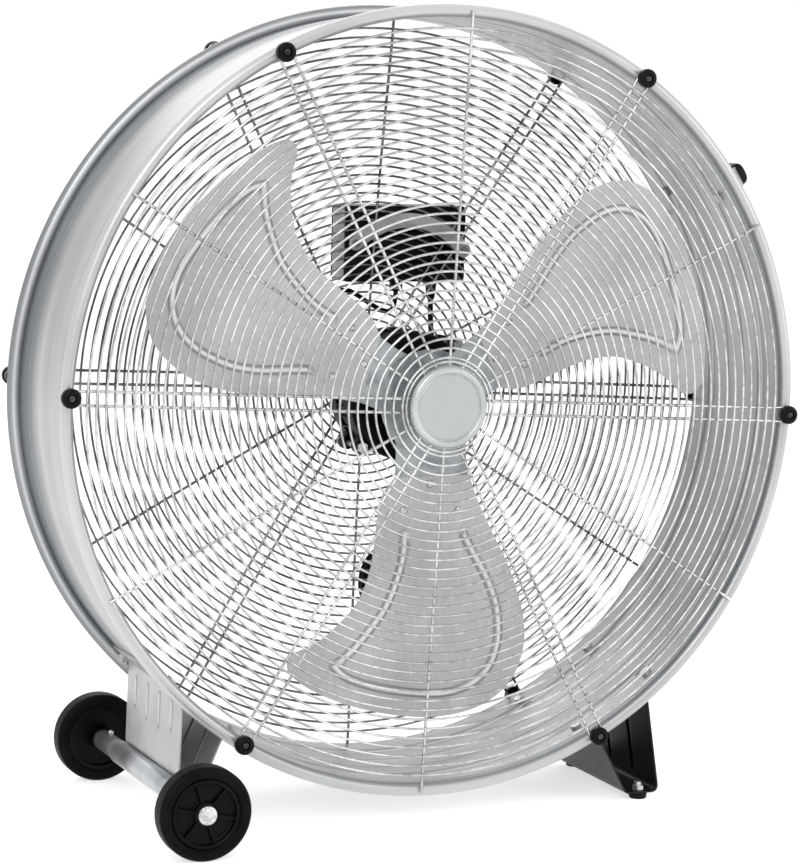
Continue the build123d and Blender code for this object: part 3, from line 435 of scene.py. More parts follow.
@dataclass
class Shape:
    """Vertices and faces that become one mesh.

    Attributes:
        verts: Points in metres, one row each.
        faces: Vertex numbers of each face.
        painted_light: For each point, its share of painted highlight and its share of painted shade.
    """

    verts: np.ndarray
    faces: list[tuple[int, ...]] = field(default_factory=list)
    painted_light: np.ndarray | None = None

    def moved(self, matrix: Matrix) -> Shape:
        """A copy placed by a matrix."""
        array = np.array(matrix, float)
        return Shape(self.verts @ array[:3, :3].T + array[:3, 3], list(self.faces), self.painted_light)


def combined(shapes: Iterable[Shape]) -> Shape:
    """Several shapes as one, without joining their surfaces.

    Args:
        shapes: The shapes.

    Returns:
        One shape.
    """
    verts, faces, start = [], [], 0
    for shape in shapes:
        verts.append(shape.verts)
        faces += [tuple(i + start for i in face) for face in shape.faces]
        start += len(shape.verts)
    return Shape(np.vstack(verts), faces)


def grid_faces(rows: int, columns: int, wrap_rows: bool, wrap_columns: bool) -> list[tuple[int, ...]]:
    """Quads between neighbouring points of a grid.

    Args:
        rows: Points down.
        columns: Points across.
        wrap_rows: Whether the last row joins the first.
        wrap_columns: Whether the last column joins the first.

    Returns:
        The faces.
    """
    row = np.arange(rows if wrap_rows else rows - 1)
    column = np.arange(columns if wrap_columns else columns - 1)
    i, j = (a.ravel() for a in np.meshgrid(row, column, indexing="ij"))
    down, right = (i + 1) % rows, (j + 1) % columns
    quads = np.stack([i * columns + j, down * columns + j, down * columns + right, i * columns + right], -1)
    return [tuple(q) for q in quads.tolist()]


def spun(profile: Sequence[Pair], segments: int = 96, closed: bool = False,
         centre: Pair = (0.0, AXIS_HEIGHT)) -> Shape:
    """A surface turned about an axis along Y.

    Args:
        profile: Radius and Y of its outline, in millimetres.
        segments: Steps round the axis.
        closed: Whether the outline's end joins its start.
        centre: X and Z of the axis, in metres.

    Returns:
        The surface.
    """
    outline = np.array(profile, float) * MM
    angles = np.linspace(0, 2 * math.pi, segments, endpoint=False)
    x = centre[0] + outline[:, 0, None] * np.cos(angles)
    z = centre[1] + outline[:, 0, None] * np.sin(angles)
    y = np.repeat(outline[:, 1, None], segments, 1)
    verts = np.stack([x, y, z], -1).reshape(-1, 3)
    return Shape(verts, grid_faces(len(outline), segments, closed, True))


def arc(centre: Pair, radius: float, start: float, end: float, steps: int) -> list[Pair]:
    """Points on an arc, with its angles in degrees."""
    angles = np.radians(np.linspace(start, end, steps + 1))
    return [(centre[0] + radius * math.cos(a), centre[1] + radius * math.sin(a)) for a in angles]


def tube(points: np.ndarray, radius: float, sides: int, closed: bool = False) -> Shape:
    """A round wire along points.

    Args:
        points: Its centreline in metres.
        radius: Its radius in metres.
        sides: Steps round it.
        closed: Whether it is a ring.

    Returns:
        The wire, with capped ends unless it is a ring.
    """
    points = np.asarray(points, float)
    count = len(points)
    ahead = np.roll(points, -1, 0) - np.roll(points, 1, 0)
    if not closed:
        ahead[0], ahead[-1] = points[1] - points[0], points[-1] - points[-2]
    ahead /= np.linalg.norm(ahead, axis=1)[:, None]
    side = np.cross(ahead[0], (0.0, 1.0, 0.0))
    sides_at = []
    for direction in ahead:
        side = side - direction * side.dot(direction)
        side /= np.linalg.norm(side)
        sides_at.append(side)
    side_rows = np.array(sides_at)
    other_rows = np.cross(ahead, side_rows)
    angles = np.linspace(0, 2 * math.pi, sides, endpoint=False)
    verts = (points[:, None] + radius * (side_rows[:, None] * np.cos(angles)[:, None]
             + other_rows[:, None] * np.sin(angles)[:, None])).reshape(-1, 3)
    faces = grid_faces(count, sides, closed, True)
    if not closed:
        faces.append(tuple(range(sides)))
        faces.append(tuple(reversed(range((count - 1) * sides, count * sides))))
    return Shape(verts, faces)


def slab(outline: Sequence[Pair], low: float, high: float, bevel: float = 0.0) -> Shape:
    """A flat outline in X and Z, made solid along Y with eased edges.

    Args:
        outline: Points in millimetres from the drum's axis, counter-clockwise.
        low: Its lower Y in millimetres.
        high: Its upper Y in millimetres.
        bevel: Width of the eased edges in millimetres.

    Returns:
        The solid's surface.
    """
    points = np.array(outline, float)
    ahead = np.roll(points, -1, 0) - points
    ahead /= np.linalg.norm(ahead, axis=1)[:, None]
    normal = np.stack([ahead[:, 1], -ahead[:, 0]], -1)
    inward = -(normal + np.roll(normal, 1, 0))
    inward /= np.maximum(np.linalg.norm(inward, axis=1)[:, None], 1e-9)
    levels = [(low, bevel), (low + bevel * 0.3, bevel * 0.3), (low + bevel, 0.0),
              (high - bevel, 0.0), (high - bevel * 0.3, bevel * 0.3), (high, bevel)]
    if not bevel:
        levels = [(low, 0.0), (high, 0.0)]
    rows = []
    for y, inset in levels:
        moved = points + inward * inset
        rows.append(np.stack([moved[:, 0] * MM, np.full(len(points), y * MM),
                              moved[:, 1] * MM + AXIS_HEIGHT], -1))
    count = len(points)
    faces = grid_faces(len(levels), count, False, True)
    faces.append(tuple(range(count)))
    faces.append(tuple(reversed(range((len(levels) - 1) * count, len(levels) * count))))
    return Shape(np.vstack(rows), faces)


def rounded_rectangle(left: float, right: float, bottom: float, top: float, radius: float) -> list[Pair]:
    """An outline with round corners.

    Args:
        left: Its lowest X.
        right: Its highest X.
        bottom: Its lowest Z.
        top: Its highest Z.
        radius: Radius of its corners.

    Returns:
        The outline's points.
    """
    corners = ((right - radius, top - radius, 0), (left + radius, top - radius, 90),
               (left + radius, bottom + radius, 180), (right - radius, bottom + radius, 270))
    return [p for x, z, start in corners for p in arc((x, z), radius, start, start + 90, 6)]


def through(points: Sequence[Pair], steps: int) -> np.ndarray:
    """A smooth curve through points.

    Args:
        points: What it passes through.
        steps: Runs between neighbouring points.

    Returns:
        Points on the curve.
    """
    known = np.array(points, float)
    padded = np.vstack([2 * known[0] - known[1], known, 2 * known[-1] - known[-2]])
    rows = []
    for a, b, c, d in zip(padded, padded[1:], padded[2:], padded[3:]):
        for share in np.linspace(0, 1, steps, endpoint=False):
            rows.append(0.5 * (2 * b + (c - a) * share + (2 * a - 5 * b + 4 * c - d) * share ** 2
                               + (3 * b - a - 3 * c + d) * share ** 3))
    rows.append(known[-1])
    return np.array(rows)


def distance_to(points: np.ndarray, line: np.ndarray) -> np.ndarray:
    """How far points lie from a chain of straight runs.

    Args:
        points: Rows of two coordinates.
        line: The chain's points.

    Returns:
        A distance for each point.
    """
    least = np.full(len(points), np.inf)
    for start, end in zip(line, line[1:]):
        run = end - start
        share = np.clip(((points - start) @ run) / max(run @ run, 1e-12), 0, 1)
        least = np.minimum(least, np.linalg.norm(points - start - share[:, None] * run, axis=1))
    return least


def pressing(offset: np.ndarray) -> np.ndarray:
    """Height of a pressed rib at offsets in millimetres: a flat top with steep sides."""
    return np.clip(1.7 - np.abs(offset) / 2.4, 0, 1)


def filleted(points: Sequence[Pair], radius: float, pitch: float) -> np.ndarray:
    """A chain of runs with rounded corners and evenly spaced points.

    Args:
        points: The chain's corners.
        radius: Radius of its corners.
        pitch: Distance between the points that are returned.

    Returns:
        Points along the rounded chain.
    """
    corners = [np.array(p, float) for p in points]
    out = [corners[0]]
    for a, b, c in zip(corners, corners[1:], corners[2:]):
        one, two = (a - b) / np.linalg.norm(a - b), (c - b) / np.linalg.norm(c - b)
        half = math.acos(np.clip(one @ two, -1, 1)) / 2
        reach = min(radius / math.tan(half), np.linalg.norm(a - b) * 0.45, np.linalg.norm(c - b) * 0.45)
        start, end = b + one * reach, b + two * reach
        for share in np.linspace(0, 1, 9):
            out.append((1 - share) ** 2 * start + 2 * share * (1 - share) * b + share ** 2 * end)
    out.append(corners[-1])
    line = np.array(out)
    steps = np.r_[0, np.cumsum(np.linalg.norm(np.diff(line, axis=0), axis=1))]
    count = max(int(round(steps[-1] / pitch)), 2)
    even = np.linspace(0, steps[-1], count + 1)
    return np.stack([np.interp(even, steps, line[:, i]) for i in range(2)], -1)


def pressed_sheet(path: np.ndarray, thickness: float, half_width: float, pitch: float,
                  lift: Callable[[np.ndarray, np.ndarray], np.ndarray] | None = None,
                  corner: float = 0.0) -> Shape:
    """Folded sheet metal with pressings, built as two skins a thickness apart.

    Args:
        path: X and Z of the inner skin, in millimetres from the drum's axis.
        thickness: Of the sheet, to the path's right hand.
        half_width: Half its length along Y.
        pitch: Distance between points along Y.
        lift: Height of the pressings from the point's place and Y.
        corner: Radius of the sheet's four corners.

    Returns:
        The sheet.
    """
    ahead = np.gradient(path, axis=0)
    ahead /= np.linalg.norm(ahead, axis=1)[:, None]
    out = np.stack([ahead[:, 1], -ahead[:, 0]], -1)
    steps = np.r_[0, np.cumsum(np.linalg.norm(np.diff(path, axis=0), axis=1))]
    columns = max(int(round(2 * half_width / pitch)), 2)
    share = np.linspace(-1, 1, columns + 1)
    from_end = np.minimum(steps, steps[-1] - steps)
    rounding = corner - np.sqrt(np.maximum(corner ** 2 - (corner - from_end) ** 2, 0))
    inset = np.where(from_end < corner, rounding, 0)
    y = share[None, :] * (half_width - inset)[:, None]
    raised = lift(np.repeat(path[:, None], columns + 1, 1), y) if lift else np.zeros_like(y)
    skins = []
    for offset in (0.0, thickness):
        place = path[:, None] + out[:, None] * (offset + raised)[..., None]
        skins.append(np.stack([place[..., 0] * MM, y * MM, place[..., 1] * MM + AXIS_HEIGHT], -1))
    rows, wide = len(path), columns + 1
    flat = rows * wide
    under = grid_faces(rows, wide, False, False)
    over = [tuple(i + flat for i in reversed(face)) for face in under]
    edge = ([i * wide for i in range(rows)] + [(rows - 1) * wide + j for j in range(1, wide)]
            + [i * wide + wide - 1 for i in range(rows - 2, -1, -1)] + list(range(wide - 2, 0, -1)))
    rim = [(a, b, b + flat, a + flat) for a, b in zip(edge, edge[1:] + edge[:1])]
    verts = np.vstack([s.reshape(-1, 3) for s in skins])
    # Painted light: the crests of the pressings take the painted highlight and their slopes the painted
    # shade.
    proud = np.clip(raised.ravel() / max(raised.max(), 1e-6), 0, 1)
    painted_light = np.tile(np.stack([np.clip(proud * 2.4 - 1.4, 0, 1), 1 - np.abs(proud * 2 - 1)], -1), (2, 1))
    return Shape(verts, under + over + rim, painted_light)


# --------------------------------------------------------------------------- the fan's sizes


@dataclass(frozen=True)
class Drum:
    """The drum's sizes in millimetres, and how finely its outline is drawn."""

    inner: float = 448.0
    wall: float = 1.5
    bead: float = 7.5
    half_depth: float = 107.0
    bead_root: float = 4.5
    swage_rise: float = 1.6
    swages: tuple[float, ...] = (-62.0, 62.0)
    # Y of thin painted shade lines inside the drum, where shallow creases would shade.
    painted_shade_lines: tuple[float, ...] = (-99.0, -69.0, -55.0, -21.0, 18.0, 55.0, 69.0)
    segments: int = 288
    inner_rows: int = 108
    outer_rows: int = 72
    bead_steps: int = 26

    @property
    def bead_circle(self) -> float:
        """Radius of the circle that a bead's middle follows."""
        return self.inner + self.bead

    @property
    def guard_seat(self) -> float:
        """Distance from the middle plane to where the guards rest."""
        return self.half_depth + self.bead


@dataclass(frozen=True)
class Guard:
    """A wire guard's sizes in millimetres."""

    side: int
    dome: float
    spoke_wire: float = 3.6
    ring_wire: float = 2.8
    seat_gap: float = 0.2
    turn: float = -2.4
    spacing: float = 16.0
    spokes: int = 6
    inner_end: float = 27.0
    knob_circle: float = 454.4
    dome_flat: float = 430.0
    dome_bends: int = 3
    ring_first: float = 57.5
    ring_pitch: float = 11.12
    ring_count: int = 35

    def bulge(self, radius: float) -> float:
        """How far the guard stands out at a radius.

        Args:
            radius: Distance from the drum's axis.

        Returns:
            The height above the rim plane.
        """
        step = (self.dome_flat - self.inner_end) / self.dome_bends
        if radius >= self.dome_flat:
            return 0.0
        index = min(int(max(radius - self.inner_end, 0) / step), self.dome_bends - 1)
        inner = self.inner_end + index * step

        def arch(r: float) -> float:
            """The smooth bulge that the bends follow."""
            return self.dome * (1 - (r / self.dome_flat) ** 2)

        share = (radius - inner) / step
        return arch(inner) * (1 - share) + arch(inner + step) * share


DRUM = Drum()
FRONT = Guard(side=-1, dome=0.0)
REAR = Guard(side=1, dome=20.0)
WHEEL_AXIS = (-0.3183, 0.054)
WHEEL_OUTER = 209.5
WHEEL_WIDTH = 27.0
BLADE_ANGLES = (33.1, 153.1, 273.1)


def round_place(angle: float, radius: float, y: float) -> Vector:
    """The place at an angle (degrees from +X), a radius and a Y (mm) of the drum's axis."""
    turn = math.radians(angle)
    return Vector((radius * math.cos(turn) * MM, y * MM, radius * math.sin(turn) * MM + AXIS_HEIGHT))


def about_axis(angle: float) -> Matrix:
    """A turn about the drum's axis, in degrees from +X towards +Z."""
    centre = Matrix.Translation((0, 0, AXIS_HEIGHT))
    return centre @ Matrix.Rotation(math.radians(-angle), 4, "Y") @ centre.inverted()


# --------------------------------------------------------------------------- finishes

# The drum's sheet. Its last two colours are the painted highlight and the painted shade.
ZINC = Finish("galvanised_steel", (0.42, 0.43, 0.44), (0.60, 0.61, 0.62), 0.45, (0.28, 0.40),
              Grain.ROUND_THE_DRUM, 110.0, 18.0, 0.30, 5.0, 0.00003, banding=0.45,
              painted_highlight=(0.85, 0.86, 0.87), painted_shade=(0.13, 0.145, 0.16))
FINISHES: dict[str, Finish] = {
    "drum_zinc": ZINC,
    "wire_bright": Finish("guard_wire", (0.36, 0.365, 0.37), (0.78, 0.785, 0.79), 0.8, (0.20, 0.30),
                          scale=120.0, contrast=0.4, mottle=14.0, bump=0.00002),
    # The same guard wire darkened as painted shade, for the rear guard in the drum's shade.
    "wire_painted_shade": Finish("guard_wire", (0.10, 0.10, 0.11), (0.36, 0.37, 0.38), 0.85, (0.24, 0.36),
                          scale=120.0, contrast=0.5, mottle=14.0, bump=0.00002),
    "badge": Finish("badge_steel", (0.50, 0.53, 0.53), (0.54, 0.57, 0.57), 0.25, (0.34, 0.42),
                    scale=500.0, contrast=0.2, mottle=12.0, bump=0.00001),
    "badge_rim": Finish("badge_steel", (0.46, 0.48, 0.485), (0.62, 0.64, 0.645), 0.5, (0.26, 0.34),
                        Grain.ROUND_THE_DRUM, 400.0, 12.0, 0.35, 12.0, 0.00001),
    "knob": Finish("black_plastic", (0.001, 0.001, 0.001), (0.006, 0.006, 0.006), 0.0, (0.24, 0.36),
                   scale=900.0, contrast=0.4, bump=0.00003, gloss=0.12),
    "black_plastic": Finish("black_plastic", (0.002, 0.002, 0.002), (0.010, 0.010, 0.010), 0.0,
                            (0.36, 0.50), scale=900.0, contrast=0.4, bump=0.00004, gloss=0.12),
    "fixing": Finish("fixing_steel", (0.42, 0.42, 0.43), (0.80, 0.81, 0.82), 0.7, (0.20, 0.34),
                     scale=500.0, contrast=0.5, mottle=90.0, bump=0.00002),
    "screw_dark": Finish("fixing_steel", (0.01, 0.01, 0.01), (0.09, 0.09, 0.09), 0.8, (0.24, 0.36),
                         scale=900.0, contrast=0.6, mottle=120.0, bump=0.00002),
    # Its last two colours are the painted highlight on the rib and the painted shade at its foot.
    "blade": Finish("blade_aluminium", (0.51, 0.51, 0.513), (0.68, 0.68, 0.683), 0.3, (0.34, 0.46),
                    Grain.ALONG, 520.0, 30.0, 0.30, 9.0, 0.00002, painted_highlight=(0.97, 0.97, 0.97),
                    painted_shade=(0.12, 0.12, 0.12)),
    "spider": Finish("spider_steel", (0.30, 0.345, 0.355), (0.58, 0.62, 0.625), 0.4, (0.30, 0.42),
                     scale=70.0, contrast=0.5, mottle=22.0, bump=0.00004),
    "machined": Finish("machined_steel", (0.30, 0.30, 0.31), (0.62, 0.62, 0.63), 1.0, (0.24, 0.36),
                       Grain.ROUND_THE_DRUM, 900.0, 14.0, 0.5, 40.0, 0.00002),
    "motor": Finish("motor_black", (0.001, 0.001, 0.001), (0.007, 0.007, 0.007), 0.0, (0.34, 0.52),
                    scale=600.0, contrast=0.5, mottle=30.0, bump=0.00008, gloss=0.12),
    "core": Finish("core_steel", (0.12, 0.12, 0.13), (0.30, 0.30, 0.31), 0.9, (0.40, 0.55),
                   Grain.ALONG, 1200.0, 0.2, 0.6, 30.0, 0.00006),
    "copper": Finish("winding_copper", (0.30, 0.12, 0.05), (0.62, 0.30, 0.14), 0.9, (0.28, 0.42),
                     Grain.ROUND_THE_DRUM, 900.0, 18.0, 0.7, 30.0, 0.0001, coat=0.4),
    "powder": Finish("box_black", (0.002, 0.002, 0.002), (0.008, 0.008, 0.008), 0.0, (0.34, 0.46),
                     scale=1100.0, contrast=0.5, mottle=24.0, bump=0.00006, gloss=0.12),
    "bracket_black": Finish("box_black", (0.003, 0.003, 0.003), (0.014, 0.014, 0.014), 0.0,
                            (0.30, 0.44), scale=1000.0, contrast=0.5, mottle=18.0, bump=0.00005, gloss=0.25),
    "strap": Finish("strap_grey", (0.34, 0.345, 0.35), (0.52, 0.525, 0.53), 0.35, (0.36, 0.48),
                    scale=400.0, contrast=0.4, mottle=30.0, bump=0.00003),
    # A grey sheet whose colour paints the lit look of the black box's left side.
    "painted_lit_side": Finish("strap_grey", (0.20, 0.205, 0.21), (0.34, 0.345, 0.35), 0.35, (0.36, 0.48),
                    scale=400.0, contrast=0.4, mottle=30.0, bump=0.00003),
    "capacitor": Finish("capacitor_white", (0.62, 0.62, 0.60), (0.78, 0.78, 0.76), 0.0, (0.24, 0.34),
                        scale=300.0, contrast=0.2, bump=0.00001, coat=0.3),
    "cord": Finish("cord_black", (0.001, 0.001, 0.001), (0.006, 0.006, 0.006), 0.0, (0.36, 0.52),
                   scale=900.0, contrast=0.4, mottle=60.0, bump=0.00003, gloss=0.12),
    "plug": Finish("plug_black", (0.002, 0.002, 0.002), (0.010, 0.010, 0.010), 0.0, (0.24, 0.36),
                   scale=900.0, contrast=0.3, bump=0.00002, gloss=0.2),
    "pin": Finish("plug_black", (0.42, 0.38, 0.26), (0.78, 0.72, 0.52), 1.0, (0.18, 0.28),
                  scale=500.0, contrast=0.3, bump=0.00001),
    "rubber": Finish("foot_rubber", (0.003, 0.003, 0.003), (0.012, 0.012, 0.012), 0.0, (0.55, 0.75),
                     scale=900.0, contrast=0.5, bump=0.00006, gloss=0.15),
    # Its last two colours are the painted highlight on the pressings and the painted shade beside them.
    "bracket_zinc": Finish("bracket_zinc", (0.54, 0.545, 0.55), (0.68, 0.685, 0.69), 0.3, (0.30, 0.42),
                           scale=60.0, contrast=0.25, mottle=16.0, bump=0.00004,
                           painted_highlight=(0.86, 0.86, 0.86), painted_shade=(0.24, 0.245, 0.25)),
    "tube_zinc": Finish("bracket_zinc", (0.36, 0.37, 0.39), (0.58, 0.60, 0.62), 0.7, (0.24, 0.36),
                        Grain.ROUND_THE_AXLE, 300.0, 30.0, 0.4, 16.0, 0.00002),
    "bush": Finish("bush_plastic", (0.03, 0.03, 0.03), (0.07, 0.07, 0.07), 0.0, (0.4, 0.5)),
    "tyre": Finish("tyre_black", (0.001, 0.001, 0.001), (0.007, 0.007, 0.007), 0.0, (0.38, 0.56),
                   Grain.ROUND_THE_AXLE, 700.0, 10.0, 0.5, 40.0, 0.00004, gloss=0.08),
    "wheel": Finish("wheel_plastic", (0.001, 0.001, 0.001), (0.006, 0.006, 0.006), 0.0, (0.28, 0.42),
                    scale=800.0, contrast=0.4, mottle=40.0, bump=0.00003, gloss=0.10),
    "grip": Finish("grip_black", (0.001, 0.001, 0.001), (0.008, 0.008, 0.008), 0.0, (0.34, 0.48),
                   scale=1000.0, contrast=0.5, bump=0.00005, gloss=0.12),
}

NODE_FINISHES: dict[str, str] = {
    "blade_spider": "spider", "hub_boss": "machined", "hub_bolts": "fixing", "hub_nut": "fixing",
    "motor_shaft": "machined", "motor_rotor_core": "core", "front_bearing": "machined",
    "rear_bearing": "machined", "stator_core": "core", "stator_windings": "copper",
    "motor_tie_bolts": "fixing", "motor_mount_plate": "motor", "motor_mount_bolts": "fixing",
    "rotary_switch": "black_plastic", "run_capacitor": "capacitor", "strap_screws": "core",
    "cable_gland": "black_plastic", "lead_tie": "black_plastic",
    "bracket_bolts": "fixing", "handle_bolts": "fixing", "axle_bushes": "bush", "axle_rod": "machined",
}


# --------------------------------------------------------------------------- building the fan


class Workshop:
    """Makes the fan's visible pieces and hangs each on its body."""

    def __init__(self, frame: dict) -> None:
        """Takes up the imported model."""
        self.frame = frame
        self.painter = Painter()

    def finish(self, key: str) -> bpy.types.Material:
        """The material of the finish that has this key in FINISHES."""
        return self.painter.material(key, FINISHES[key])

    def dress_nodes(self) -> None:
        """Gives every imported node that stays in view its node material."""
        for name, key in NODE_FINISHES.items():
            mesh = self.frame["nodes"][name].data
            mesh.materials.clear()
            mesh.materials.append(self.finish(key))
            mesh.polygons.foreach_set("material_index", np.zeros(len(mesh.polygons), np.int32))

    def add(self, name: str, shape: Shape, key: str, body: Body, replaces: Sequence[str] = (),
            sharp: float = 35.0) -> bpy.types.Object:
        """Makes a piece of the fan.

        Args:
            name: The piece's name.
            shape: Its surface.
            key: Its finish.
            body: The body it moves with.
            replaces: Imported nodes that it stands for.
            sharp: Edges that turn more than this many degrees stay sharp.

        Returns:
            The new object.
        """
        mesh = bpy.data.meshes.new(name)
        mesh.from_pydata(shape.verts, [], shape.faces)
        tool = bmesh.new()
        tool.from_mesh(mesh)
        bmesh.ops.recalc_face_normals(tool, faces=tool.faces)
        tool.to_mesh(mesh)
        tool.free()
        if shape.painted_light is not None:
            corners = np.empty(len(mesh.loops), np.int32)
            mesh.loops.foreach_get("vertex_index", corners)
            layer = mesh.uv_layers.new(name=PAINTED_LIGHT_LAYER)
            layer.uv.foreach_set("vector", shape.painted_light[corners].astype(np.float32).ravel())
        mesh.polygons.foreach_set("use_smooth", np.ones(len(mesh.polygons), bool))
        mesh.set_sharp_from_angle(angle=math.radians(sharp))
        mesh.materials.append(self.finish(key))
        piece = bpy.data.objects.new(name, mesh)
        bpy.context.scene.collection.objects.link(piece)
        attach(piece, body.value)
        if replaces:
            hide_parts(*replaces)
        LOG.info("piece %s: %d faces on %s", name, len(mesh.polygons), body.value)
        return piece


@dataclass(frozen=True)
class Assembly:
    """A part of the fan that is made of several pieces."""

    shop: Workshop

    def add(self, name: str, shape: Shape, key: str, body: Body, replaces: Sequence[str] = (),
            sharp: float = 35.0) -> bpy.types.Object:
        """Makes one of its pieces, as the workshop's own method does."""
        return self.shop.add(name, shape, key, body, replaces, sharp)


@dataclass(frozen=True)
class Routes:
    """The routes of both cords: the lead's length in metres, which is not used, and its coil's sizes in
    millimetres.
    """

    length: float = 1.75
    coil_centre: Pair = (57.0, -254.0)
    coil_outer: float = 54.0
    coil_step: float = 8.0
    coil_turns: int = 5
    coil_seat: float = 141.3
    coil_climb: float = 8.1
    climb_turns: float = 0.5
    turn_points: int = 16

    def coil_point(self, turn: float) -> Point:
        """A point of the coil, which winds in and out again in two layers.

        Args:
            turn: How many turns from its start.

        Returns:
            The point in millimetres from the drum's axis.
        """
        middle = self.coil_turns / 2
        radius = self.coil_outer - self.coil_step * (middle - abs(turn - middle))
        climb = min(max((turn - middle) / self.climb_turns + 0.5, 0.0), 1.0)
        y = self.coil_seat + self.coil_climb * climb * climb * (3 - 2 * climb)
        angle = -2 * math.pi * turn
        x, z = self.coil_centre
        return x + radius * math.cos(angle), y, z + radius * math.sin(angle)

    def lead_points(self) -> list[Point]:
        """The mains lead from its strain relief, down to the coil, round it and to the plug.

        Returns:
            Control points in metres.
        """
        down = self.coil_centre[0] + self.coil_outer
        route = [(96.0, 158.0, 103.0), (96.0, 158.0, 62.0), (106.0, 151.0, 8.0), (118.0, 147.5, -62.0),
                 (117.0, 145.5, -130.0), (down, self.coil_seat, -192.0), (down, self.coil_seat, -247.0)]
        count = self.coil_turns * self.turn_points
        step = math.pi / self.turn_points
        for index in range(count + 1):
            x, y, z = self.coil_point(index / self.turn_points)
            grow = 1.0 / math.cos(step) ** 0.5
            centre_x, centre_z = self.coil_centre
            route.append((centre_x + (x - centre_x) * grow, y, centre_z + (z - centre_z) * grow))
        last = route[-1]
        route[-1] = (down, last[1], self.coil_centre[1])
        route.append((down, last[1], self.coil_centre[1] - 12.0))
        route.append((down, last[1], self.coil_centre[1] - 21.0))
        return [(x * MM, y * MM, z * MM + AXIS_HEIGHT) for x, y, z in route]

    def motor_points(self) -> list[Point]:
        """The motor's cable from the box, through the guard, into the motor's back.

        Returns:
            Control points in metres.
        """
        entry = (63.0 * math.cos(math.radians(140)), 63.0 * math.sin(math.radians(140)))
        route = [(46.0, 152.0, 113.0), (46.0, 152.0, 88.0), (26.0, 153.0, 87.0), (-32.0, 162.0, 128.0),
                 (entry[0], 170.0, entry[1]), (entry[0], 100.0, entry[1]), (entry[0], 60.5, entry[1])]
        return [(x * MM, y * MM, z * MM + AXIS_HEIGHT) for x, y, z in route]


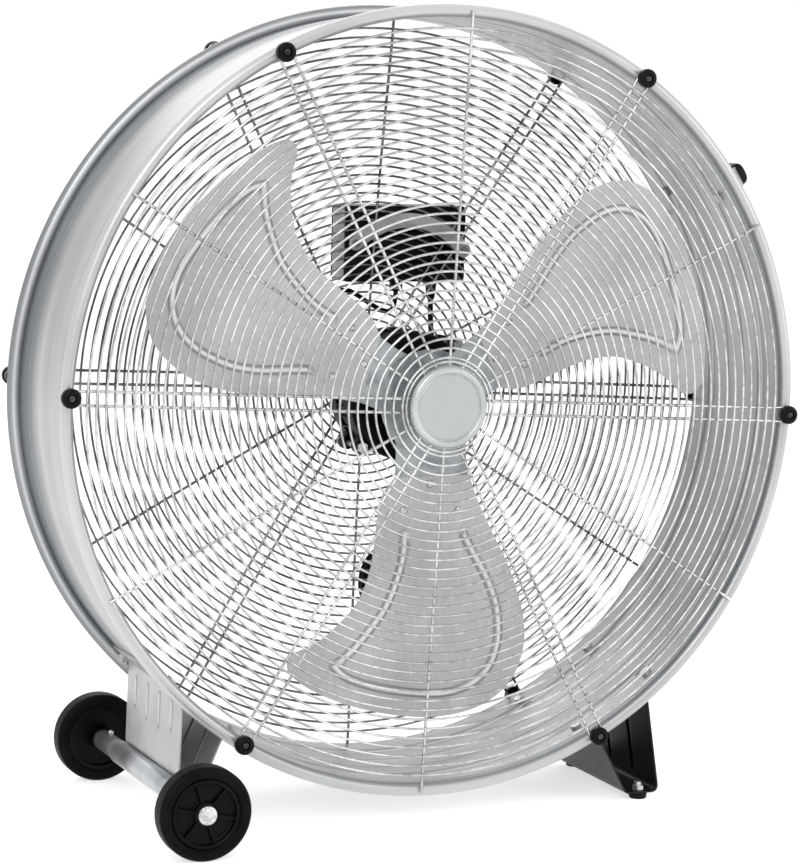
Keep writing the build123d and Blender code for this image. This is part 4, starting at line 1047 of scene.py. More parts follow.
@dataclass(frozen=True)
class Blade:
    """The form of one leaf blade, along and across its centre line.

    Attributes:
        plane: Y of its middle line, in millimetres as all that follow but the two angles.
        thickness: Of the sheet.
        root: Where it starts, from the axis.
        tip: Where it ends.
        root_pitch: Twist at its root, in degrees.
        tip_pitch: Twist at its tip, in degrees.
        camber: Height of its crown at the tip.
        curl: How strongly the hook's side curls forward.
        crown_line: Where the crown is highest, across the blade.
        crown_reach: Distance from there to where the camber ends.
        curl_line: Where the curl ends on the other side.
        curl_area: What the curl's two distances are measured against.
        middle: Where its mesh is drawn from.
        rib: Height of the raised rib.
        rib_slope: Width of the rib's slopes.
        rings: Rows of the mesh from the middle to the edge.
        rivets: Places of its rivets.
    """

    plane: float = -68.5
    thickness: float = 2.0
    root: float = 88.0
    tip: float = 379.0
    root_pitch: float = 20.7
    tip_pitch: float = 8.0
    camber: float = 7.0
    curl: float = 56.0
    crown_line: float = -40.0
    crown_reach: float = 170.0
    curl_line: float = 130.0
    curl_area: float = 57800.0
    middle: Pair = (262.0, -20.0)
    rib: float = 2.5
    rib_slope: float = 3.2
    rings: int = 64
    rivets: tuple[Pair, ...] = ((97.0, -2.0), (128.0, -33.0), (130.0, 29.0))

    def pitch(self, u: np.ndarray | float) -> np.ndarray | float:
        """The blade's twist in radians at a distance along it."""
        share = (u - self.root) / (self.tip - self.root)
        return np.radians(self.root_pitch + (self.tip_pitch - self.root_pitch) * share)

    def height(self, u: np.ndarray, s: np.ndarray) -> np.ndarray:
        """Y of the sheet's middle before its rib.

        Args:
            u: Distance along the blade.
            s: Distance across it.

        Returns:
            Y in millimetres.
        """
        off = s - self.crown_line
        crown = self.camber * (1 - (off / self.crown_reach) ** 2)
        hook = self.curl * off * (s - self.curl_line) / self.curl_area
        return self.plane - np.tan(self.pitch(u)) * s - (crown + hook) * u / self.tip

    def outline(self) -> np.ndarray:
        """The blade's edge.

        Returns:
            Points along and across.
        """
        hollow = through([(88, -41), (107, -56), (130, -63), (160, -68), (190, -74), (212, -82), (236, -96),
                          (255, -117), (270, -139), (279, -160), (282, -174), (286, -183)], 4)
        rounded = through([(286, -183), (294, -188), (304, -187), (317, -176), (331, -156), (346, -127),
                           (359, -94), (371, -52), (378, -8), (376, 32), (367, 60), (351, 83), (330, 97),
                           (300, 105.5), (270, 105.5), (240, 99), (200, 86), (160, 68), (120, 51),
                           (88, 41)], 4)
        root = np.linspace((88, 41), (88, -41), 10)
        return np.vstack([hollow[:-1], rounded[:-1], root[:-1]])

    def rib_line(self) -> np.ndarray:
        """The middle of the raised rib.

        Returns:
            Points along and across.
        """
        hollow = through([(155, -34), (186, -38), (218, -49), (243, -62), (262, -78), (282, -98), (297, -118),
                          (304, -130)], 5)
        rounded = through([(304, -130), (317, -117), (328, -95), (338, -65), (346, -30), (350, 2), (347, 28),
                           (337, 49), (319, 65), (295, 73), (270, 74), (245, 71), (215, 61), (185, 46),
                           (160, 34)], 5)
        return np.vstack([hollow, rounded])

    def shape(self) -> Shape:
        """The blade as two skins, drawn from its middle out to its edge.

        Returns:
            The blade pointing along +X.
        """
        edge = self.outline()
        centre, rings = np.array(self.middle), self.rings
        shares = 1 - (1 - np.linspace(1 / rings, 1, rings)) ** 1.15
        plan = centre + shares[:, None, None] * (edge - centre)
        flat = plan.reshape(-1, 2)
        middle = np.vstack([centre[None], flat])
        gap = distance_to(middle, self.rib_line())
        rise = self.rib * np.clip(1.45 - gap / self.rib_slope, 0, 1)
        from_edge = distance_to(middle, np.vstack([edge, edge[:1]]))
        lip = 0.4 * np.exp(-(from_edge / 3.0) ** 2)
        y = self.height(middle[:, 0], middle[:, 1]) - rise + lip
        count, columns = len(middle), len(edge)
        skins = []
        for offset in (-self.thickness / 2, self.thickness / 2):
            skins.append(np.stack([middle[:, 0] * MM, (y + offset) * MM,
                                   middle[:, 1] * MM + AXIS_HEIGHT], -1))
        faces = []
        for start, flip in ((0, False), (count, True)):
            cells = [tuple(i + 1 + start for i in face) for face in grid_faces(rings, columns, False, True)]
            fan = [(start, start + 1 + j, start + 1 + (j + 1) % columns) for j in range(columns)]
            faces += [tuple(reversed(f)) if flip else f for f in cells + fan]
        last = 1 + (rings - 1) * columns
        faces += [(last + j, last + (j + 1) % columns, last + (j + 1) % columns + count, last + j + count)
                  for j in range(columns)]
        # Painted light: a painted highlight along the rib's crest and a painted shade line beside its foot.
        crest = np.clip(1.3 - gap / 2.1, 0, 1)
        foot = 0.8 * np.exp(-((gap - 4.2) / 1.3) ** 2)
        painted_light = np.tile(np.stack([crest, foot], -1), (2, 1))
        return Shape(np.vstack(skins), faces, painted_light)

    def rivet(self, u: float, s: float, side: int) -> Shape:
        """A domed rivet head on one face of the blade and spider.

        Args:
            u: Its place along the blade.
            s: Its place across it.
            side: -1 for the front face and 1 for the back.

        Returns:
            The head.
        """
        y = float(self.height(np.array(u), np.array(s))) + 1.5
        reach = 2.5
        profile = [(4.9, reach - 0.4), (4.9, reach + 0.3), (4.2, reach + 1.3), (2.6, reach + 2.0),
                   (0.02, reach + 2.1)]
        head = spun([(r, side * d) for r, d in profile], 24, centre=(0, 0))
        place = Matrix.Translation((u * MM, y * MM, s * MM + AXIS_HEIGHT))
        return head.moved(place @ Matrix.Rotation(float(self.pitch(u)), 4, "X"))


# --------------------------------------------------------------------------- the fan's assemblies


@dataclass(frozen=True)
class DrumSkin(Assembly):
    """The rolled sheet drum."""

    def build(self) -> None:
        """The rolled drum with its two beads and two shallow swages."""
        def wall(radius: float, y: float) -> Pair:
            """A point of the wall, lifted at the swages."""
            lift = sum(DRUM.swage_rise * math.exp(-((y - s) / 5.0) ** 2) for s in DRUM.swages)
            return radius + lift, y

        reach = DRUM.half_depth
        inner = [wall(DRUM.inner, y) for y in np.linspace(-reach, reach, DRUM.inner_rows)]
        rear = arc((DRUM.bead_circle, reach), DRUM.bead, 180, -143.1, DRUM.bead_steps)
        outer = [wall(DRUM.inner + DRUM.wall, y)
                 for y in np.linspace(reach - DRUM.bead_root, DRUM.bead_root - reach, DRUM.outer_rows)]
        front = arc((DRUM.bead_circle, -reach), DRUM.bead, 143.1, -180, DRUM.bead_steps)
        profile = inner + rear[1:] + outer + front[:-1]
        skin = spun(profile, DRUM.segments, closed=True)
        # The drum's painted highlights, painted shade and painted reflection, row by row of its profile.
        skin.painted_light = np.repeat(self.painted_light(), DRUM.segments, axis=0)
        self.add("drum_skin", skin, "drum_zinc", Body.HOUSING, ["drum_shell"], 50)

    @staticmethod
    def painted_light() -> np.ndarray:
        """Where painted highlights, painted shade and a painted reflection lie along the drum's outline.

        Each mark is a soft bump, e to the minus square of the distance over its width. The bead's
        marks lie at angles round its section, and 0 degrees points away from the axis.

        Returns:
            Painted highlight and painted shade shares, in the order of the drum's profile.
        """
        def near(place: np.ndarray, middle: float, width: float) -> np.ndarray:
            """A soft bump of height 1."""
            return np.exp(-((place - middle) / width) ** 2)

        reach = DRUM.half_depth
        y = np.linspace(-reach, reach, DRUM.inner_rows)
        # Inside: thin painted shade lines, painted highlights on the swages and painted shade towards both
        # beads.
        shade_lines = sum(near(y, place, 1.7) for place in DRUM.painted_shade_lines)
        swage_highlight = sum(0.5 * near(y, place, 4.0) for place in DRUM.swages)
        shade = 0.02 + 0.8 * shade_lines + 0.85 * near(np.abs(y), reach, 4.0)
        inner = np.stack([swage_highlight, np.clip(shade, 0, 1)], -1)
        # Rear bead: a narrow painted highlight and broader painted shade round its section.
        turn = np.linspace(180, -143.1, DRUM.bead_steps + 1)[1:]
        shade = 0.6 * near(turn, -25, 50) + 0.4 * near(turn, 35, 35)
        rear = np.stack([near(turn, -88, 16), shade], -1)
        # Outer wall: a faint painted highlight towards the front and a painted reflection, a dark band,
        # towards the rear bead.
        y = np.linspace(reach - DRUM.bead_root, DRUM.bead_root - reach, DRUM.outer_rows)
        outer = np.stack([0.12 * near(y, -60, 50), 0.66 * np.clip((y - 20.0) / 34.0, 0, 1)], -1)
        # Front bead: a painted highlight round its outermost part and painted shade at its inner edge.
        turn = np.linspace(143.1, -180, DRUM.bead_steps + 1)[:-1]
        front = np.stack([0.5 * near(turn, -20, 45), 0.9 * near(turn, -178, 22)], -1)
        return np.vstack([inner, rear, outer, front])


@dataclass(frozen=True)
class WireGuard(Assembly):
    """One wire guard with the knobs that clamp it."""

    sizes: Guard
    name: str
    finish_key: str
    close_rings: Pair = (44.0, 52.6)

    def wires(self) -> None:
        """The spokes bent to the guard's dome and its full set of rings."""
        guard = self.sizes
        spokes = []
        for index in range(guard.spokes):
            angle = guard.turn + index * 360 / guard.spokes
            spokes.append(self.hairpin().moved(about_axis(angle)))
            spokes.append(self.single().moved(about_axis(angle + 180 / guard.spokes)))
        self.add(f"{self.name}_spoke_wires", combined(spokes), self.finish_key, Body.HOUSING,
                 [f"{self.name}_guard_spokes"], 60)
        radii = [*self.close_rings]
        radii += [guard.ring_first + i * guard.ring_pitch for i in range(guard.ring_count)]
        rings = []
        for radius in radii:
            y = guard.side * (DRUM.guard_seat + guard.bulge(radius) + guard.spoke_wire + guard.seat_gap
                              + guard.ring_wire / 2)
            turns = np.linspace(0, 2 * math.pi, 96 if radius < 150 else 160, endpoint=False)
            line = np.stack([radius * MM * np.cos(turns), np.full(len(turns), y * MM),
                             radius * MM * np.sin(turns) + AXIS_HEIGHT], -1)
            rings.append(tube(line, guard.ring_wire / 2 * MM, 8, closed=True))
        self.add(f"{self.name}_ring_wires", combined(rings), self.finish_key, Body.HOUSING,
                 [f"{self.name}_guard_rings"], 60)

    def spoke_y(self, radius: float) -> float:
        """Where a spoke's middle lies along the axis at a radius."""
        guard = self.sizes
        return guard.side * (DRUM.guard_seat + guard.bulge(radius) + guard.spoke_wire / 2)

    def hairpin(self) -> Shape:
        """A spoke bent back on itself round a knob's neck.

        Returns:
            The wire, pointing along +X.
        """
        guard = self.sizes
        half = guard.spacing / 2
        out = list(np.linspace(guard.inner_end, guard.knob_circle, 28))
        places = [(r, -half) for r in out] + arc((guard.knob_circle, 0), half, -80, 80, 12)
        places += [(r, half) for r in reversed(out)]
        line = [(u * MM, self.spoke_y(u) * MM, s * MM + AXIS_HEIGHT) for u, s in places]
        return tube(np.array(line), guard.spoke_wire / 2 * MM, 8)

    def single(self) -> Shape:
        """A straight spoke that ends on the bead.

        Returns:
            The wire, pointing along +X.
        """
        guard = self.sizes
        out = np.linspace(guard.inner_end, DRUM.bead_circle + 1.0, 28)
        line = [(u * MM, self.spoke_y(u) * MM, AXIS_HEIGHT) for u in out]
        return tube(np.array(line), guard.spoke_wire / 2 * MM, 8)

    def knobs(self) -> None:
        """Domed clamp knobs and their recessed screws, round the rim."""
        guard, seat = self.sizes, DRUM.guard_seat
        crown = [(11.2, 3.6), (11.2, 8.0)] + arc((7.4, 8.6), 3.8, 0, 84, 8)[1:]
        profile = [(5.4, 0.0), (5.4, 3.6), (10.6, 3.6)] + crown + [(6.8, 12.6), (5.1, 12.3), (4.5, 11.4),
                                                                 (4.4, 10.1), (0.4, 10.1)]
        socket = [(0.9, 12.1), (0.7, 11.5), (0.05, 11.5)]
        head = [(3.9, 10.1), (3.9, 11.0)] + arc((2.6, 10.8), 1.3, 10, 90, 5) + socket
        for part, outline, key, node in (("knobs", profile, "knob", "guard_knobs"),
                                         ("screw_heads", head, "screw_dark", "guard_screws")):
            one = spun([(r, guard.side * (seat + h)) for r, h in outline], 40, centre=(0.0, 0.0))
            angles = [guard.turn + i * 360 / guard.spokes for i in range(guard.spokes)]
            shapes = [one.moved(Matrix.Translation(round_place(angle, guard.knob_circle, 0)))
                      for angle in angles]
            self.add(f"{self.name}_{part}", combined(shapes), key, Body.HOUSING,
                     [f"{self.name}_{node}"], 40)


@dataclass(frozen=True)
class Badge(Assembly):
    """The blank disc in the middle of the front guard."""

    seat: float = 121.3

    def build(self) -> None:
        """The blank centre disc with its rolled edge and groove."""
        seat = self.seat
        face = [(0.02, -(seat + 3.1)), (36.6, -(seat + 3.1)), (37.4, -(seat + 3.0))]
        rim = [(37.4, -(seat + 3.0)), (38.0, -(seat + 2.1)), (38.9, -(seat + 2.0)), (39.6, -(seat + 2.5))]
        rim += [(r, -y) for r, y in arc((43.2, seat + 0.4), 4.6, 140, 8, 16)]
        rim += [(48.2, -(seat + 0.8)), (48.2, -seat), (44.0, -seat), (0.02, -seat)]
        self.add("badge_face", spun(face, 128), "badge", Body.HOUSING, [], 40)
        self.add("badge_rim", spun(rim, 128), "badge_rim", Body.HOUSING, ["badge_disc"], 50)


@dataclass(frozen=True)
class Rotor(Assembly):
    """The bladed rotor."""

    def build(self) -> None:
        """Three leaf blades with their raised ribs."""
        blade = Blade()
        for number, angle in enumerate(BLADE_ANGLES, 1):
            key = f"blade_{number}"
            FINISHES[key] = replace(FINISHES["blade"], turn=angle)
            self.add(f"leaf_{number}", blade.shape().moved(about_axis(angle)), key, Body.ROTOR, [key], 32)
        heads = [blade.rivet(u, s, side).moved(about_axis(a)) for a in BLADE_ANGLES
                 for u, s in blade.rivets for side in (-1, 1)]
        self.add("rivet_heads", combined(heads), "fixing", Body.ROTOR, ["blade_rivets"], 40)


@dataclass(frozen=True)
class Motor(Assembly):
    """The motor's casing, with its sizes in millimetres from the drum's middle plane."""

    front: float = -15.0
    back: float = 60.0
    radius: float = 78.0
    fins: int = 36
    lug_angles: tuple[int, ...] = (45, 135, 225, 315)
    lug_spans: tuple[Pair, ...] = ((-6.8, 8.8), (36.2, 51.8))

    def build(self) -> None:
        """The motor's casing: two bells with ribs and lugs, and a finned shell."""
        front, back, outer = self.front, self.back, self.radius

        def bell(face: float, inward: int) -> list[Pair]:
            """The outline of an end bell with its rounded edge."""
            edge = [(r, face + inward * d) for r, d in arc((outer - 7.0, 7.0), 7.0, -90, 0, 8)]
            return [(26.0, face), *edge, (outer, face + inward * 23.7), (outer - 3.0, face + inward * 23.7)]

        shapes = [spun([(11.2, front + 4.0), (11.2, front), *bell(front, 1)], 96),
                  spun([(0.02, back), *bell(back, -1)], 96)]
        shell = spun([(outer - 2.5, front + 23.5), (outer - 2.5, back - 23.5)], 96)
        fins = []
        for index in range(self.fins):
            fin = np.array([(outer - 3.0, -1.1), (outer - 0.2, -0.8), (outer - 0.2, 0.8), (outer - 3.0, 1.1)])
            one = slab([tuple(p) for p in fin], front + 24.5, back - 24.5, 0.3)
            fins.append(one.moved(about_axis(index * 360 / self.fins)))
        lugs = [self.lug(a, low, high) for a in self.lug_angles for low, high in self.lug_spans]
        ribs = [slab([(30, -2.0), (68, -2.0), (68, 2.0), (30, 2.0)], front - 1.4, front + 2.0, 0.8)
                .moved(about_axis(a)) for a in range(20, 380, 60)]
        self.add("motor_casing", combined([*shapes, shell, *fins, *lugs, *ribs]), "motor", Body.HOUSING,
                 ["motor_front_bell", "motor_rear_bell", "motor_shell"], 35)

    @staticmethod
    def lug(angle: float, low: float, high: float) -> Shape:
        """A rounded tie-bolt lug at an angle, between two places along the axis."""
        outline = [(71.5, -9.5)] + arc((85.3, 0), 8.0, -80, 80, 10) + [(71.5, 9.5)]
        return slab(outline, low, high, 1.0).moved(about_axis(angle))


@dataclass(frozen=True)
class ControlBox(Assembly):
    """The switch box behind the rear guard, with its sizes in millimetres from the axis."""

    left: float = -28.0
    right: float = 134.0
    bottom: float = 125.0
    top: float = 219.0
    front: float = 140.8
    depth: float = 44.0
    corner: float = 5.0
    painted_lit_side: float = 0.6
    painted_lit_side_rise: float = 0.5

    def build(self) -> None:
        """The switch box, its cover, dial marks, strap and speed knob."""
        left, right, bottom, top = self.left, self.right, self.bottom, self.top
        back = self.front + self.depth
        body = slab(rounded_rectangle(left, right, bottom, top, self.corner), self.front, back - 0.4, 1.5)
        self.add("box_body", body, "powder", Body.HOUSING, ["control_box"], 30)
        cover = slab(rounded_rectangle(left, right, bottom, top, self.corner), back + 0.3, back + 3.0, 1.0)
        screws = [spun([(3.6, back + 2.9), (3.6, back + 2.95), (0.02, back + 2.95)], 24, centre=(0, 0)).moved(
            Matrix.Translation((x * MM, 0, z * MM + AXIS_HEIGHT)))
            for x in (left + 10, right - 10) for z in (bottom + 10, top - 10)]
        self.add("box_lid", cover, "powder", Body.HOUSING, ["box_cover"], 30)
        self.add("box_lid_screws", combined(screws), "fixing", Body.HOUSING, [], 30)
        # Painted light: a thin grey sheet on the box's left side stands in for that black side's lit look.
        outline = rounded_rectangle(bottom + 4.0, top - 4.0, self.front + 2.5, back - 3.0, 3.0)
        painted_lit_side = slab(outline, left, left + self.painted_lit_side, 0.2)
        out = -self.painted_lit_side_rise * MM
        turned = painted_lit_side.verts[:, [1, 2, 0]] + np.array((out, -AXIS_HEIGHT, AXIS_HEIGHT))
        self.add("box_painted_lit_side", Shape(turned, painted_lit_side.faces), "painted_lit_side", Body.HOUSING, [], 30)
        middle = ((left + right) / 2, (bottom + top) / 2)
        start = back + 3.5
        dial = [(3.2, start), (17.4, start), (18.0, start + 0.8), (17.2, start + 9.0), (15.6, start + 11.2),
                (0.02, start + 11.6)]
        centre = (middle[0] * MM, middle[1] * MM + AXIS_HEIGHT)
        grip = rounded_rectangle(middle[0] - 3.6, middle[0] + 3.6, middle[1] - 15.6, middle[1] + 15.6, 3.4)
        bar = slab(grip, start + 9.0, start + 17.9, 1.4)
        self.add("speed_dial_knob", combined([spun(dial, 64, centre=centre), bar]), "black_plastic",
                 Body.SPEED_DIAL, ["speed_knob"], 35)
        mark = rounded_rectangle(middle[0] - 0.7, middle[0] + 0.7, middle[1] + 4.0, middle[1] + 14.5, 0.6)
        pointer = slab(mark, start + 17.7, start + 17.98)
        self.add("speed_dial_pointer", pointer, "capacitor", Body.SPEED_DIAL, [], 35)
        strap = through([(-18.9, 173.5), (-4, 185), (22, 197.5), (52, 202.0), (80, 197), (106, 184),
                         (126.5, 164.9)], 8)
        self.add("box_strap_bow", self.ribbon(strap, 18.0, 127.0, 129.0), "strap", Body.HOUSING,
                 ["box_strap"], 35)

    @staticmethod
    def ribbon(line: np.ndarray, width: float, low: float, high: float) -> Shape:
        """A flat band that follows a curve in X and Z, with round ends.

        Args:
            line: Its middle.
            width: Its width.
            low: Its lower Y.
            high: Its upper Y.

        Returns:
            The band.
        """
        ahead = np.gradient(line, axis=0)
        ahead /= np.linalg.norm(ahead, axis=1)[:, None]
        across = np.stack([-ahead[:, 1], ahead[:, 0]], -1) * width / 2
        turn = math.degrees(math.atan2(ahead[-1][1], ahead[-1][0]))
        first = math.degrees(math.atan2(ahead[0][1], ahead[0][0]))
        end = arc(tuple(line[-1]), width / 2, turn - 80, turn + 80, 8)
        start = arc(tuple(line[0]), width / 2, first + 100, first + 260, 8)
        outline = [tuple(p) for p in line - across] + end + [tuple(p) for p in (line + across)[::-1]] + start
        return slab(outline, low, high, 0.4)


@dataclass(frozen=True)
class FootBracket(Assembly):
    """The folded bracket with the rubber feet."""

    sheet: float = 2.0
    half_width: float = 98.0
    foot_x: float = 0.284
    foot_y: float = 0.087

    def build(self) -> None:
        """The black folded bracket with its two creases, and the rubber feet."""
        foot, plate_height = -482.0, 132.5
        corners = [(187.3, -408.9), (215.3, -394.8), (263.0, foot), (305.0, foot),
                   (283.0, foot + plate_height), (306.8, -328.8)]
        path = filleted(corners, 7.0, 2.4)

        def lift(place: np.ndarray, y: np.ndarray) -> np.ndarray:
            """How far the pressings stand out of the sheet.

            Args:
                place: X and Z of the sheet's points, in millimetres.
                y: Their Y.

            Returns:
                The heights, in millimetres.
            """
            share = (place[..., 1] - foot) / plate_height
            on_plate = (place[..., 0] > 275) & (share > 0)
            along = np.clip((share - 0.08) / 0.06, 0, 1) * np.clip((0.92 - share) / 0.06, 0, 1)
            ridge = sum(pressing(y - c) for c in (-38.0, 22.0))
            return np.where(on_plate, 1.4 * ridge * along, 0.0)

        self.add("foot_bracket_sheet", pressed_sheet(path, self.sheet, self.half_width, 1.1, lift, 6.0),
                 "bracket_black", Body.HOUSING, ["foot_bracket"], 40)
        upright = Matrix.Rotation(math.radians(90), 4, "X")
        places = [Matrix.Translation((self.foot_x, side * self.foot_y, 0)) @ upright for side in (-1, 1)]
        profile = [(3.4, 0.0), (9.0, 0.0)] + arc((9.2, 1.4), 1.4, -90, 0, 5)
        profile += [(11.4, 7.0), (10.9, 7.9), (3.4, 7.9)]
        feet = [spun(profile, 40, centre=(0, 0)).moved(place) for place in places]
        self.add("foot_pads", combined(feet), "rubber", Body.HOUSING, ["rubber_feet"], 40)
        flats = [(0.02, 10.1), (7.0, 10.1), (7.5, 10.6), (7.5, 15.2), (6.9, 15.9), (4.4, 16.0)]
        hexagon = spun(flats, 6, centre=(0, 0))
        cap = [(4.6, 15.7), (4.6, 18.0)] + arc((1.8, 18.0), 2.8, 0, 90, 8)[1:] + [(0.02, 20.8)]
        dome = spun(cap, 32, centre=(0, 0))
        shank = spun([(3.2, 5.0), (3.2, 10.3)], 24, centre=(0, 0))
        nuts = [combined([hexagon, dome, shank]).moved(place) for place in places]
        self.add("foot_cap_nuts", combined(nuts), "fixing", Body.HOUSING, ["foot_bolts"], 35)


@dataclass(frozen=True)
class WheelBracket(Assembly):
    """The zinc bracket on the axle tube, and the tube itself."""

    sheet: float = 2.0
    half_width: float = 98.0

    def build(self) -> None:
        """The zinc bracket that stands on the axle tube, with its pressed grooves."""
        axle, slope_x, slope_z = (-318.3, -438.0), 0.766, 0.643
        seat = (axle[0] + 16.0 * math.cos(math.radians(50)), axle[1] + 16.0 * math.sin(math.radians(50)))
        left = (seat[0] - 6.0 * slope_x, seat[1] + 6.0 * slope_z)
        right = (seat[0] + 24.0 * slope_x, seat[1] - 24.0 * slope_z)
        corners = [(-332.1, -303.3), (-310.2, -325.7), left, right, (-258.6, -368.0), (-232.3, -385.1)]
        path = filleted(corners, 5.0, 2.2)

        def lift(place: np.ndarray, y: np.ndarray) -> np.ndarray:
            """How far the pressings stand out of the sheet.

            Args:
                place: X and Z of the sheet's points, in millimetres.
                y: Their Y.

            Returns:
                The heights, in millimetres.
            """
            x, z = place[..., 0], place[..., 1]
            outer = (x < -308) & (z < -330)
            share = (-330 - z) / 96.0
            end = 0.52 + 0.04 * np.cos(y / 25.0)
            along = np.clip((share - 0.06) / 0.05, 0, 1) * np.clip((end - share) / 0.08, 0, 1)
            grooves = sum(pressing(y - c) for c in (-66.0, -22.0, 22.0, 66.0))
            inner = (x > right[0] - 1) & (x < -259)
            slope = (x - right[0]) / 33.0
            along_in = np.clip((slope - 0.10) / 0.06, 0, 1) * np.clip((0.90 - slope) / 0.06, 0, 1)
            ribs = sum(pressing(y - c) for c in (-50.0, 0.0, 50.0))
            return np.where(outer, 1.4 * grooves * along, 0.0) + np.where(inner, 1.4 * ribs * along_in, 0.0)

        sheet = pressed_sheet(path, self.sheet, self.half_width, 1.1, lift, 5.0)
        # Painted shade: the inner wing takes at least 0.6 of the painted shade colour.
        wing = sheet.verts[:, 0] > right[0] * MM
        sheet.painted_light[wing, 1] = np.maximum(sheet.painted_light[wing, 1], 0.6)
        self.add("wheel_bracket_sheet", sheet, "bracket_zinc", Body.HOUSING, ["wheel_bracket"], 40)
        tube_line = [(10.1, -174.1), (12.2, -174.1), (12.5, -173.6), (12.5, -106.2), (13.4, -106.0),
                     (14.0, -105.2), (14.0, 105.2), (13.4, 106.0), (12.5, 106.2), (12.5, 173.6),
                     (12.2, 174.1), (10.1, 174.1)]
        self.add("axle_sleeve", spun(tube_line, 56, centre=WHEEL_AXIS), "tube_zinc", Body.HOUSING,
                 ["axle_tube"], 40)
        grub = [(3.4, 12.2), (3.4, 14.4)] + arc((2.0, 14.2), 1.4, 10, 90, 4) + [(0.02, 15.6)]
        turned = spun(grub, 24, centre=(0, 0)).moved(
            Matrix.Translation((WHEEL_AXIS[0], 0.158, WHEEL_AXIS[1]))
            @ Matrix.Rotation(math.radians(20), 4, "Y") @ Matrix.Rotation(math.radians(90), 4, "X"))
        self.add("axle_grub_screw", turned, "fixing", Body.HOUSING, [], 40)
        caps = []
        for side in (-1, 1):
            near = WHEEL_OUTER + 0.3
            cap = [(10.9, near), (11.0, near + 1.6)] + arc((9.4, near + 2.1), 1.6, 10, 90, 5)
            cap.append((0.02, near + 3.9))
            caps.append(spun([(r, side * y) for r, y in cap], 48, centre=WHEEL_AXIS))
        self.add("axle_push_caps", combined(caps), "fixing", Body.HOUSING, ["axle_caps"], 40)


@dataclass(frozen=True)
class Wheel(Assembly):
    """A wheel; its side is -1 at the front and 1 at the rear."""

    side: int
    name: str
    body: Body

    def build(self) -> None:
        """The rounded tyre, the stepped rim and the recessed face with ribs."""
        side, name, body = self.side, self.name, self.body
        outer, inner = WHEEL_OUTER, WHEEL_OUTER - WHEEL_WIDTH

        def placed(profile: Sequence[Pair]) -> Shape:
            """A closed profile turned about the axle."""
            return spun([(r, side * y) for r, y in profile], 96, True, WHEEL_AXIS)

        tyre = [(41.0, outer - 1.6), (42.0, outer - 0.5), (44.0, outer), (48.2, outer)]
        tyre += arc((48.4, outer - 5.6), 5.6, 90, 0, 8) + arc((48.4, inner + 5.6), 5.6, 0, -90, 8)
        tyre += [(44.0, inner), (41.0, inner + 0.8), (40.1, inner + 2.0), (40.1, outer - 2.4)]
        self.add(f"{name}_tyre_ring", placed(tyre), "tyre", body, [f"{name}_wheel_tyre"], 32)
        hub = [(6.1, outer - 0.4), (13.2, outer - 0.4), (14.0, outer - 1.2), (14.2, outer - 7.0),
               (15.5, outer - 8.2), (33.5, outer - 8.2), (34.9, outer - 7.2), (35.2, outer - 1.8),
               (36.4, outer - 0.8), (39.0, outer - 0.9), (40.0, outer - 2.0), (40.0, inner + 1.2),
               (35.0, inner + 0.6), (34.4, inner + 8.0), (15.0, inner + 9.0), (14.0, inner - 7.9),
               (6.1, inner - 7.9)]
        ribs = []
        for index in range(6):
            start, end = outer - 8.4, outer - 3.0
            low, high = sorted((side * start, side * end))
            rib = slab([(13.6, -2.0), (35.2, -1.6), (35.2, 1.6), (13.6, 2.0)], low, high, 0.6)
            centre = Matrix.Translation((WHEEL_AXIS[0], 0, WHEEL_AXIS[1]))
            local = Matrix.Translation((0, 0, -AXIS_HEIGHT))
            ribs.append(rib.moved(centre @ Matrix.Rotation(math.radians(60 * index + 12), 4, "Y") @ local))
        self.add(f"{name}_hub_disc", combined([placed(hub), *ribs]), "wheel", body, [f"{name}_wheel_hub"], 30)


